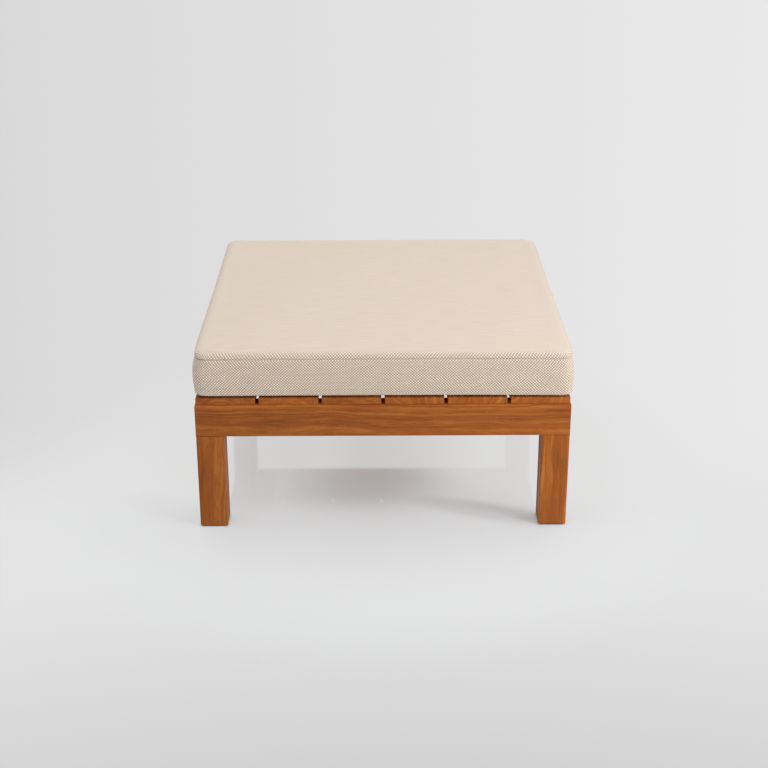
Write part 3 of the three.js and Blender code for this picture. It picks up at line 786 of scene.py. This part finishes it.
def wood_screw(name, screw, head, along=(0, 0, -1)):
    """One screw, with the flat of its head at a point and its shank running from there."""
    rim, shank = screw["head"] / 2, screw["shank"] / 2
    drive = rim * drive_radius_share
    outline = [(drive, 0), (rim - thread_depth / 2, 0), (rim, -thread_depth / 2), (shank, -screw["head_depth"])]
    height = -screw["length"] / 3
    outline.append((shank, height))
    while height - thread_pitch > screw["tip"] - screw["length"]:
        outline.append((shank - thread_depth, height - thread_pitch / 4))
        outline.append((shank - thread_depth, height - thread_pitch * 3 / 4))
        outline.append((shank, height - thread_pitch))
        height -= thread_pitch
    outline.append((shank - thread_depth, screw["tip"] - screw["length"]))
    outline.append((0, -screw["length"]))
    shape = bmesh.new()
    turned(shape, outline)
    bmesh.ops.remove_doubles(shape, verts=shape.verts, dist=merge_distance)
    in_rim = [v for v in shape.verts if max(abs(v.co.z), v.co.xy.length - drive) < merge_distance]
    for vertex in in_rim:
        turn = math.atan2(vertex.co.y, vertex.co.x)
        lobe = 1 + drive_lobe_share / drive_radius_share * math.cos(drive_lobes * turn)
        vertex.co.x *= lobe
        vertex.co.y *= lobe
    lid = bmesh.ops.edgeloop_fill(shape, edges=[e for e in shape.edges if e.is_boundary])["faces"]
    drive_floor = bmesh.ops.extrude_discrete_faces(shape, faces=lid)["faces"][0]
    bmesh.ops.translate(shape, vec=(0, 0, -screw["head_depth"] * drive_depth_share), verts=drive_floor.verts)
    bmesh.ops.recalc_face_normals(shape, faces=shape.faces)
    bmesh.ops.transform(shape, matrix=along_way(head, along), verts=shape.verts)
    piece = new_piece(name, shape)
    finish(piece, steel)
    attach(piece, "frame")
    return piece


steel = marked_metal("brushed_steel", steel_colour, 1600, 2, (0.22, 0.42), 0.15, 0.00005)
for corner in corners:
    for number in (1, 2):
        screw = wood_screw(f"{corner}_block_screw_{number}", block_screw, *block_screw_line(corner, number))
        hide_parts(f"block_screw_{corner}_{number}")
for number, heads in enumerate(deck_heads, 1):
    for place, head in enumerate(heads[:4], 1):
        screw = wood_screw(f"deck_screw_{number}_{place}", slat_screw, head)
        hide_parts(f"slat_{number}_screw_{place}")
    wood_screw(f"bearer_screw_{number}", slat_screw, heads[4])

# Foam core. One block of firm outdoor foam, cut to the cushion's form: slightly crowned, and drawn in towards
# the bottom. It fills the cover, and the zip behind lets it in and out.
foam_colour = (0.80, 0.76, 0.66)
foam_hollow_shade = (0.55, 0.50, 0.40)
foam_gap = 0.0022
foam_cells = 32
cushion_corner = 0.022
cushion_top_radius = 0.016
cushion_bottom_radius = 0.006
cushion_lip = {"rise": 0.0046, "reach": 0.009}
cushion_corner_lift = 0.0012
cushion_draw_in = 0.006
cushion_foot = 0.017
cushion_front_share = {"left": 0.42, "right": 0.10}
cushion_corner_fill = {"left": 0.0024, "right": 0.0036}
cushion_front_fill = 0.0015
cushion_lean = {"left": 0.0042, "right": 0.0024}
cushion_side_square = 0.003
cushion_tuck = 0.0034
cushion_tuck_heights = (0.025, 0.006)
cushion_slack = 0.0011
cushion_crown = 0.004
cushion_rear_rise = 0.0065
cushion_rear_square = 0.0052
cushion_rear_share = (0.1, 0.8)
cushion_droop = 0.0025
zip_band = (0.020, 0.048)
zip_height = sum(zip_band) / 2
arc_rows = 5
ring_tolerance = 1e-4

# Powers of how near a place is to an edge or a corner: a change stays close to it, or fades over a wide reach.
close = 8
wide = 3

cover_low, cover_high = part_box("cushion_cover")
cushion_base = cover_low.z
cushion_half = (cover_high.x - cover_low.x) / 2
cushion_thickness = cover_high.z - cushion_crown - cushion_base
seam_height = cushion_thickness - cushion_top_radius
widest_height = (zip_band[1] + seam_height) / 2


def drawn_in(height):
    """How far the side is drawn in at a height under its widest line."""
    below = min(1, max(0, (widest_height - height) / (widest_height - cushion_foot)))
    return cushion_draw_in * below * below


def cushion_rings(inset, sides):
    """How far in and how high each ring of a cushion's form lies, from its top face's edge to its bottom's. The
    inset is how far the form stays inside the cover, and the sides are the rings between its rounded edges."""
    turns = [math.pi / 2 * (1 - step / arc_rows) for step in range(arc_rows + 1)]
    top = cushion_top_radius - inset
    bottom = cushion_bottom_radius - inset
    foot = cushion_draw_in + cushion_bottom_radius
    lip = cushion_lip["rise"]
    rings = [(cushion_top_radius - top * math.cos(turn), seam_height + top * math.sin(turn)) for turn in turns]
    rings += [(inset + depth + drawn_in(height), height) for depth, height in sides]
    low = lip + cushion_bottom_radius
    rings += [(foot - bottom * math.sin(turn), low - bottom * math.cos(turn)) for turn in turns]
    rings += [(foot + cushion_lip["reach"] * share, inset + lip * (1 - share ** wide)) for share in (0.5, 1)]
    return rings


def ringed(cells, rings):
    """A square of cells with a skirt of one strip per ring, each one lower, and a second square under it."""
    shape = bmesh.new()
    bmesh.ops.create_grid(shape, x_segments=cells, y_segments=cells, size=1)
    panel = shape.faces[:]
    rim = [e for e in shape.edges if e.is_boundary]
    for ring in rings[1:]:
        grown = bmesh.ops.extrude_edge_only(shape, edges=rim)["geom"]
        rim = [item for item in grown if isinstance(item, bmesh.types.BMEdge) and item.is_boundary]
        lowered = [item for item in grown if isinstance(item, bmesh.types.BMVert)]
        bmesh.ops.translate(shape, vec=(0, 0, -1), verts=lowered)
    copied = bmesh.ops.duplicate(shape, geom=panel)["geom"]
    lowered = [item for item in copied if isinstance(item, bmesh.types.BMVert)]
    bmesh.ops.translate(shape, vec=(0, 0, 1 - len(rings)), verts=lowered)
    bmesh.ops.remove_doubles(shape, verts=shape.verts, dist=ring_tolerance)
    bmesh.ops.recalc_face_normals(shape, faces=shape.faces)
    return shape


def rounded(a, b, half):
    """A place in a square with round corners, from its place in a plain square that reaches one each way."""
    x, y = a * half, b * half
    straight = half - cushion_corner
    u, v = (abs(x) - straight) / cushion_corner, (abs(y) - straight) / cushion_corner
    if u > 0 and v > 0:
        x = math.copysign(straight + cushion_corner * u * math.sqrt(1 - v * v / 2), x)
        y = math.copysign(straight + cushion_corner * v * math.sqrt(1 - u * u / 2), y)
    return x, y


def eased(value, start, end):
    """From 0 to 1 while a value goes from a start to an end, smoothly."""
    share = min(1, max(0, (value - start) / (end - start)))
    return share * share * (3 - 2 * share)


def cushion_formed(shape, rings):
    """Moves the square and its skirt to the cushion's form. The front corners are tucked in along the seam and
    drawn in less at the bottom, the sides lean in above, and the top panel is squarer at the sides and rear."""
    for vertex in shape.verts:
        inward, height = rings[round(-vertex.co.z)]
        along_x, along_y = abs(vertex.co.x), abs(vertex.co.y)
        ahead, behind = max(0, -vertex.co.y), max(0, vertex.co.y)
        side = "left" if vertex.co.x < 0 else "right"
        in_front = 1 - eased(vertex.co.y, *cushion_rear_share)
        corner = (along_x * along_y) ** close * in_front
        by_corner = (along_x * along_y) ** wide * in_front
        less_drawn = (1 - cushion_front_share[side]) * drawn_in(height)
        fuller = by_corner * (less_drawn + cushion_corner_fill[side])
        tuck_start, tuck_end = widest_height - cushion_tuck_heights[0], seam_height - cushion_tuck_heights[1]
        tucked = corner * (cushion_slack + cushion_tuck * eased(height, tuck_start, tuck_end))
        x, y = rounded(vertex.co.x, vertex.co.y, cushion_half - inward + fuller - tucked)

        # Up the rounded top edge. The sides' fullness peaks at two thirds of the way and the rear's half way.
        top_share = min(1, max(0, (height - seam_height) / cushion_top_radius))
        side_fullness = 27 / 4 * top_share ** 2 * (1 - top_share)
        rear_fullness = 4 * top_share * (1 - top_share)
        y -= cushion_front_fill * drawn_in(height) / cushion_draw_in * ahead ** close * (1 - by_corner)
        x *= 1 - cushion_lean[side] / cushion_half * eased(height, widest_height, seam_height)
        x += math.copysign(cushion_side_square, x) * along_x ** close * side_fullness
        y += cushion_rear_square * behind ** close * rear_fullness
        crown = cushion_crown * (1 - along_x ** wide) * (1 - along_y ** wide) + cushion_rear_rise * behind ** 2
        droop = cushion_droop * corner * max(0, (height - zip_band[1]) / (cushion_thickness - zip_band[1]))
        lifted = cushion_corner_lift * by_corner * max(0, 1 - height / cushion_foot)
        vertex.co = (x, y, cushion_base + height + crown * top_share - droop + lifted)


def open_foam():
    """Pale open-celled foam, with painted shade in the hollows of its cells."""
    material = bpy.data.materials.new("open_foam")
    tree = emptied(material)
    place = wire(tree, "TexCoord").outputs["Object"]
    cells = wire(tree, "TexVoronoi", {"Vector": place, "Scale": 700}).outputs["Distance"]
    colour = blend(tree, ramp(tree, cells, 0.1, 0.6, 0, 1), foam_hollow_shade, foam_colour)
    surfaced(tree, {"Base Color": colour, "Roughness": 0.95}, cells, 0.6, 0.0005)
    return material


foam_rings = cushion_rings(foam_gap, [(0, widest_height), (0, zip_band[1]), (0, zip_height), (0, zip_band[0])])
core_shape = ringed(foam_cells, foam_rings)
cushion_formed(core_shape, foam_rings)
core = new_piece("cushion_core", core_shape)
core.data.shade_smooth()
core.data.materials.append(open_foam())
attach(core, "cushion")
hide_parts("foam_core")

# Cushion cover. A box cover of thick woven outdoor cloth: a top panel that turns over the edge to a sewn seam,
# one band round the sides, drawn in towards the bottom, and a flat bottom panel. The foam keeps it full, and
# the rear of the band has a long hemmed slot for the zip.
cover_cells = 88
band_shares = (0.12, 0.32, 0.55, 0.78, 1)
band_foot = 0.012
seam_depth = 0.0026
seam_lip = 0.0008
slot_half_length = 0.3003
slot_half_height = 0.0113
slot_hem = 0.0005
slot_depth = 0.0017
slot_reach = 0.004
fill_pressure = 4
fill_frames = 20
cloth_give = 0.0015
yarn_pairs = 500

yarn_light = (0.875, 0.76, 0.625)
yarn_dark = (0.445, 0.33, 0.23)
yarn_gap_shade = (0.21, 0.15, 0.10)
yarn_evenly_lit_colour = (0.622, 0.513, 0.404)
yarn_evenly_lit_share = 0.85
yarn_evenly_lit_slopes = (0.45, 0.995)

zip_y = cushion_half - (drawn_in(zip_band[0]) + drawn_in(zip_band[1])) / 2
zip_tilt = math.atan2(drawn_in(zip_band[0]) - drawn_in(zip_band[1]), zip_band[1] - zip_band[0])
zip_frame = Matrix.Translation((0, zip_y, cushion_base + zip_height)) @ Matrix.Rotation(-zip_tilt, 4, "X")
slot_rise = slot_half_height * math.cos(zip_tilt)
corner_length = cushion_corner * math.pi / 4
straight_half = cushion_half - cushion_corner
whole_way = 8 * (straight_half + corner_length)


def side_rings():
    """The rings of the cover's side: the seam's groove, the band under it, and the zip's slot."""
    start = seam_height - 2 * seam_lip
    heights = [start] + [start + (zip_band[1] - start) * share for share in band_shares]
    heights += [zip_height + slot_rise, zip_height, zip_height - slot_rise, zip_band[0], band_foot]
    return [(seam_depth, seam_height - seam_lip)] + [(0, height) for height in heights]


def round_the_band(a, b):
    """How far round the cushion a place on its side is, from the middle of the rear."""
    sides = ((0, -a), b), ((1, -b), -a), ((2, a), -b), ((3, b), a)
    side, along = max(sides, key=lambda choice: choice[1])[0]
    past = max(0, abs(along) * cushion_half - straight_half) / cushion_corner
    arc = cushion_corner * math.asin(min(1, past) * math.sqrt(0.5))
    reach = min(abs(along) * cushion_half, straight_half) + arc
    return side * whole_way / 4 + math.copysign(reach, along)


def outward(a, b):
    """Which way the side of the cushion faces at a place."""
    place = rounded(a, b, cushion_half)
    way = Vector([math.copysign(max(0, abs(reach) - straight_half), reach) for reach in place])
    return way.normalized() if way.length else way


def fill_out(piece):
    """Lets pressure swell the cover, made a little smaller first, as the foam does. The seam, the zip's slot
    and the bottom are held, the foam lets no point go in, and the cloth gives only a little."""
    held = piece.vertex_groups.new(name="held")
    ways = [vertex.normal.copy() for vertex in piece.data.vertices]
    for vertex, way in zip(piece.data.vertices, ways):
        height = vertex.co.z - cushion_base
        across, along = sorted((abs(vertex.co.x), abs(vertex.co.y)))
        by_slot = (zip_frame.inverted() @ vertex.co).y > -2 * slot_depth and height < zip_band[1] + slot_reach
        if height < cushion_foot or by_slot or vertex.index in seam_points:
            held.add([vertex.index], 1, "REPLACE")
        elif height < seam_height:
            free = eased(cushion_half - across, cushion_corner, 4 * cushion_corner)
            free *= math.sin(math.pi * (height - cushion_foot) / (seam_height - cushion_foot))
            vertex.co -= way * cloth_give * free
        else:
            free = eased(cushion_half - along, cushion_top_radius, 3 * cushion_top_radius)
            vertex.co -= way * cloth_give * free
    filling = piece.modifiers.new("filling", "CLOTH")
    filling.settings.vertex_group_mass = "held"
    filling.settings.use_pressure = True
    filling.settings.uniform_pressure_force = fill_pressure
    filling.settings.effector_weights.gravity = 0
    for step in range(1, fill_frames + 1):
        bpy.context.scene.frame_set(step)
    swollen = piece.evaluated_get(bpy.context.evaluated_depsgraph_get()).data
    shifts = [moved.co - vertex.co for vertex, moved in zip(piece.data.vertices, swollen.vertices)]
    piece.modifiers.remove(filling)
    bpy.context.scene.frame_set(1)
    for vertex, way, shift in zip(piece.data.vertices, ways, shifts):
        shift -= way * min(0, shift.dot(way))
        vertex.co += shift.normalized() * cloth_give * math.tanh(shift.length / cloth_give)
    piece.vertex_groups.clear()


cover_rings = cushion_rings(0, side_rings())
seam_ring = arc_rows + 1
lengths = [0]
for ring, next_ring in zip(cover_rings, cover_rings[1:]):
    lengths.append(lengths[-1] + math.dist(ring, next_ring))
cover_shape = ringed(cover_cells, cover_rings)

slot_end = slot_half_length / (cushion_half - drawn_in(zip_height))
nearest_line = round(slot_end * cover_cells / 2) / (cover_cells / 2)
for vertex in cover_shape.verts:
    share = abs(vertex.co.x)
    if share <= nearest_line:
        share *= slot_end / nearest_line
    else:
        share = 1 - (1 - share) * (1 - slot_end) / (1 - nearest_line)
    vertex.co.x = math.copysign(share, vertex.co.x)

cloth_map = cover_shape.loops.layers.uv.new("cloth")
for face in cover_shape.faces:
    depth = -face.calc_center_median().z
    first = None
    for loop in face.loops:
        a, b, ring = loop.vert.co.x, loop.vert.co.y, round(-loop.vert.co.z)
        if depth > len(cover_rings) - 1 - ring_tolerance:
            u, v = rounded(a, b, cushion_half - cover_rings[-1][0])
        elif depth < seam_ring:
            u, v = rounded(a, b, cushion_half - cover_rings[0][0])
            if ring:
                way = outward(a, b)
                u, v = u + way.x * lengths[ring], v + way.y * lengths[ring]
        else:
            u, v = round_the_band(a, b), -lengths[ring]
            first = u if first is None else first
            u += whole_way * round((first - u) / whole_way)
        loop[cloth_map].uv = (u, v)

seam_line = cover_shape.edges.layers.float.new("crease_edge")
cover_shape.verts.index_update()
seam_points = {v.index for v in cover_shape.verts if round(-v.co.z) == seam_ring}
for edge in cover_shape.edges:
    if all(vertex.index in seam_points for vertex in edge.verts):
        edge[seam_line] = 1
cushion_formed(cover_shape, cover_rings)

slot_faces = []
for face in cover_shape.faces:
    middle = zip_frame.inverted() @ face.calc_center_median()
    if abs(middle.x) < slot_half_length and abs(middle.z) < slot_half_height and abs(middle.y) < slot_depth:
        slot_faces.append(face)
bmesh.ops.inset_region(cover_shape, faces=slot_faces, thickness=slot_hem, use_even_offset=True)
bmesh.ops.inset_region(cover_shape, faces=slot_faces, thickness=0, depth=-slot_depth, use_even_offset=True)

cover = new_piece("cushion_cover_sewn", cover_shape)
fill_out(cover)
finer = cover.modifiers.new("finer", "SUBSURF")
finer.levels = 1
finer.render_levels = 1
baked(cover)
cover.data.shade_smooth()
# Painted light: where the cloth faces up, its weave is blended towards one even colour and its relief flattened,
# as if lit evenly from above.
evenly_lit_top = cover.data.attributes.new("evenly_lit_top", "FLOAT", "POINT")
for index, vertex in enumerate(cover.data.vertices):
    evenly_lit_top.data[index].value = yarn_evenly_lit_share * eased(vertex.normal.z, *yarn_evenly_lit_slopes)


def woven_cloth():
    """Thick plain weave: pale yarns one way over darker ones the other, each a round rib with fine fibres, and
    painted shade between the yarns. Where the cloth faces up it is painted as one even colour without relief, as
    if lit evenly from above.
    """
    material = bpy.data.materials.new("woven_cloth")
    tree = emptied(material)
    place = scaled(tree, wire(tree, "UVMap", uv_map="cloth").outputs[0], 2 * yarn_pairs / whole_way)
    parts = wire(tree, "SeparateXYZ", {"Vector": place}).outputs
    cells = []
    ribs = []
    for way in (parts["X"], parts["Y"]):
        cells.append(maths(tree, "FLOOR", way))
        off = maths(tree, "MULTIPLY_ADD", maths(tree, "FRACT", way), 2, -1)
        ribs.append(maths(tree, "SUBTRACT", 1, maths(tree, "MULTIPLY", off, off)))
    parity = maths(tree, "FLOORED_MODULO", maths(tree, "ADD", *cells), 2)
    heights = []
    for own, other in (ribs, ribs[::-1]):
        round_rib = maths(tree, "SQRT", own)
        heights.append(maths(tree, "MULTIPLY", round_rib, maths(tree, "MULTIPLY_ADD", other, 0.5, 0.5)))
    weft = maths(tree, "MULTIPLY", heights[1], maths(tree, "SUBTRACT", 1, parity))
    height = maths(tree, "MULTIPLY_ADD", heights[0], parity, weft)

    fuzz = noise(tree, place, (3, 3, 3), 3, 0.7)
    slubs = noise(tree, place, (0.05, 0.9, 1), 1)
    evenly_lit_top = wire(tree, "Attribute", attribute_name="evenly_lit_top").outputs["Fac"]
    # Painted shade: the low parts between the yarns take the dark gap colour.
    shade = ramp(tree, height, 0.05, 0.55, 0, 1)
    shade = maths(tree, "MULTIPLY_ADD", shade, 0.75, maths(tree, "MULTIPLY", fuzz, 0.4))
    colour = blend(tree, shade, yarn_gap_shade, blend(tree, parity, yarn_dark, yarn_light))
    colour = scaled(tree, blend(tree, evenly_lit_top, colour, yarn_evenly_lit_colour), ramp(tree, slubs, 0.3, 0.7, 0.97, 1.03))
    relief = maths(tree, "MULTIPLY_ADD", fuzz, 0.25, height)
    relief = maths(tree, "MULTIPLY", relief, maths(tree, "SUBTRACT", 1, evenly_lit_top))
    inputs = {"Base Color": colour, "Roughness": 0.92, "Specular IOR Level": 0.2}
    surfaced(tree, {**inputs, "Sheen Weight": 0.15, "Sheen Roughness": 0.5}, relief, 0.7, 0.0006)
    return material


cover.data.materials.append(woven_cloth())
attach(cover, "cushion")
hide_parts("cushion_cover")

# Zip tape. A woven polyester tape sewn behind the slot in the cover's rear, with a moulded coil down its
# middle, whose teeth lock in from both sides in turn. A row of lock stitches runs round the slot.
tape_half_width = 0.011
tape_half_length = 0.300
tape_thickness = 0.001
tape_recess = 0.00025
coil_half_width = 0.0025
coil_height = 0.0017
tooth_pitch = 0.001
tooth_thickness = 0.0008
tooth_lock = 0.0007
tooth_edge = 0.0002
tooth_lean = math.radians(9)
stitch_pitch = 0.0035
stitch_length = 0.0027
stitch_width = 0.0006
stitch_margin = 0.002

tape_colour = (0.34, 0.27, 0.20)
coil_colour = (0.30, 0.24, 0.18)
thread_colour = (0.72, 0.62, 0.50)


def tape_cloth(name, colour, rib_rate, roughness):
    """Fine ribbed polyester in one colour, its ribs along the zip, with painted shade in the grooves and painted
    light on the ribs' crowns.
    """
    material = bpy.data.materials.new(name)
    tree = emptied(material)
    place = wire(tree, "TexCoord").outputs["Object"]
    ribs = {"Vector": place, "Scale": rib_rate, "Distortion": 0.4, "Detail": 1}
    ribs = wire(tree, "TexWave", ribs, bands_direction="Z").outputs["Fac"]
    height = maths(tree, "MULTIPLY_ADD", noise(tree, place, 2500), 0.6, ribs)
    shade = scaled(tree, colour, ramp(tree, height, 0.2, 1.4, 0.7, 1.15))
    surfaced(tree, {"Base Color": shade, "Roughness": roughness}, height, 0.4, 0.0002)
    return material


def small_blocks(name, places, size, edge):
    """Many equal small blocks with eased edges as one piece, each put in place by a matrix."""
    pattern = bpy.data.meshes.new("pattern")
    block = planed(-Vector(size) / 2, Vector(size) / 2, edge, 1)
    block.to_mesh(pattern)
    block.free()
    shape = bmesh.new()
    for place in places:
        pattern.transform(place)
        shape.from_mesh(pattern)
        pattern.transform(place.inverted())
    return new_piece(name, shape)


tape_shape = planed(
    (-tape_half_length, -tape_recess - tape_thickness, -tape_half_width),
    (tape_half_length, -tape_recess, tape_half_width),
    tape_recess,
)
bmesh.ops.transform(tape_shape, matrix=zip_frame, verts=tape_shape.verts)
tape = new_piece("zip_tape_woven", tape_shape)
finish(tape, tape_cloth("zip_tape_cloth", tape_colour, 400, 0.85))
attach(tape, "cushion")
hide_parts("zip_tape")

teeth = []
tooth_count = round(2 * tape_half_length / tooth_pitch) - 2
tooth_width = coil_half_width + tooth_lock
for index in range(tooth_count):
    side = 1 if index % 2 else -1
    x = (index - (tooth_count - 1) / 2) * tooth_pitch
    place = (x, coil_height / 2 - tape_recess, side * (coil_half_width - tooth_width / 2))
    teeth.append(zip_frame @ Matrix.Translation(place) @ Matrix.Rotation(side * tooth_lean, 4, "Y"))
coil = small_blocks("zip_coil", teeth, (tooth_thickness, coil_height, tooth_width), tooth_edge)
finish(coil, tape_cloth("zip_coil_plastic", coil_colour, 700, 0.45))
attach(coil, "cushion")

stitches = []
row_x = slot_half_length + stitch_margin
row_z = slot_half_height + stitch_margin
for half, offset, turn in ((row_x, row_z, 0), (row_z, row_x, math.pi / 2)):
    count = round(2 * half / stitch_pitch)
    for index in range(count):
        for side in (-1, 1):
            place = ((index + 0.5) * 2 * half / count - half, stitch_width / 6, side * offset)
            stitches.append(zip_frame @ Matrix.Rotation(turn, 4, "Y") @ Matrix.Translation(place))
thread = small_blocks("zip_stitches", stitches, (stitch_length, stitch_width, stitch_width), stitch_width / 3)
finish(thread, tape_cloth("sewing_thread", thread_colour, 900, 0.7))
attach(thread, "cushion")

# Zip slider. Die-cast zinc with a dull plating: a body that runs over the coil, narrower behind than in front,
# and an arch on its back that holds the pull.
slider_length = 0.012
slider_half_width = 0.0046
slider_waist = 0.10
slider_cuts = 7
slider_foot = 0.00005
slider_floor = 0.00175
slider_top = 0.00335
slider_edge = 0.0006
slider_edge_steps = 4
channel_half_width = 0.0028
arch_half_length = 0.0055
arch_half_width = 0.0012
arch_post = 0.0014
arch_ceiling = 0.005694
arch_top = 0.006694
arch_edge = 0.0004
zinc_colour = (0.50, 0.48, 0.45)

zinc = marked_metal("plated_zinc", zinc_colour, 500, 4, (0.30, 0.48), 0.1, 0.00008)
slider_place = zip_frame @ Matrix.Translation((centre(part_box("zip_slider")).x, 0, 0))
body_shape = bmesh.new()
bmesh.ops.create_cube(body_shape, size=1)
lengthwise = [e for e in body_shape.edges if abs((e.verts[0].co - e.verts[1].co).x) > 0.5]
bmesh.ops.subdivide_edges(body_shape, edges=lengthwise, cuts=slider_cuts)
for vertex in body_shape.verts:
    share = vertex.co.x
    narrow = 1 - slider_waist * (0.5 + share) - slider_waist * math.cos(math.pi * share)
    vertex.co = (
        share * slider_length,
        slider_top if vertex.co.y > 0 else slider_foot,
        2 * vertex.co.z * slider_half_width * narrow,
    )
round_off(body_shape, sharp(body_shape), slider_edge, slider_edge_steps)
channel = bmesh.new()
plain_box(
    channel,
    (-slider_length, -slider_floor, -channel_half_width),
    (slider_length, slider_floor, channel_half_width),
)
slider = carved("zip_slider_cast", body_shape, channel)
window = bmesh.new()
plain_box(
    window,
    (arch_post - arch_half_length, slider_top, -2 * arch_half_width),
    (arch_half_length - arch_post, arch_ceiling, 2 * arch_half_width),
)
arch_shape = planed(
    (-arch_half_length, (slider_floor + slider_top) / 2, -arch_half_width),
    (arch_half_length, arch_top, arch_half_width),
    arch_edge,
)
combined(slider, carved("arch", arch_shape, window), "UNION")
slider.data.transform(slider_place)
finish(slider, zinc)
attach(slider, "zip_slider")
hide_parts("zip_slider")

# Zip pull. A flat tab of the same plated zinc, with rounded corners, a shallow grip on both faces and a window at
# one end, whose crossbar turns inside the slider's arch.
pull_length = 0.025
pull_half_width = 0.004
pull_thickness = 0.0012
pull_crossbar = 0.0014
pull_corner = 0.0012
pull_corner_steps = 6
pull_edge = 0.0003
pull_edge_steps = 3
pull_window_end = 0.006413
pull_window_half = 0.0017
pull_axis = 0.004522
pull_grip = {"start": 0.011, "end": 0.022, "half_width": 0.0022, "depth": 0.0002}

tab_shape = bmesh.new()
plain_box(
    tab_shape,
    (pull_crossbar / 2 - pull_length, -pull_thickness / 2, -pull_half_width),
    (pull_crossbar / 2, pull_thickness / 2, pull_half_width),
)
through = [e for e in tab_shape.edges if abs((e.verts[0].co - e.verts[1].co).y) > pull_thickness / 2]
round_off(tab_shape, through, pull_corner, pull_corner_steps)
round_off(tab_shape, sharp(tab_shape), pull_edge, pull_edge_steps)
openings = bmesh.new()
plain_box(
    openings,
    (-pull_window_end, -pull_thickness, -pull_window_half),
    (-pull_crossbar / 2, pull_thickness, pull_window_half),
)
for side in (-1, 1):
    plain_box(
        openings,
        (-pull_grip["end"], side * (pull_thickness / 2 - pull_grip["depth"]), -pull_grip["half_width"]),
        (-pull_grip["start"], side * pull_thickness, pull_grip["half_width"]),
    )
pull = carved("zip_pull_tab", tab_shape, openings)
pull.data.transform(slider_place @ Matrix.Translation((0, pull_axis, 0)))
finish(pull, zinc)
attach(pull, "zip_pull")
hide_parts("zip_pull")

bpy.context.view_layer.update()
low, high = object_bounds()
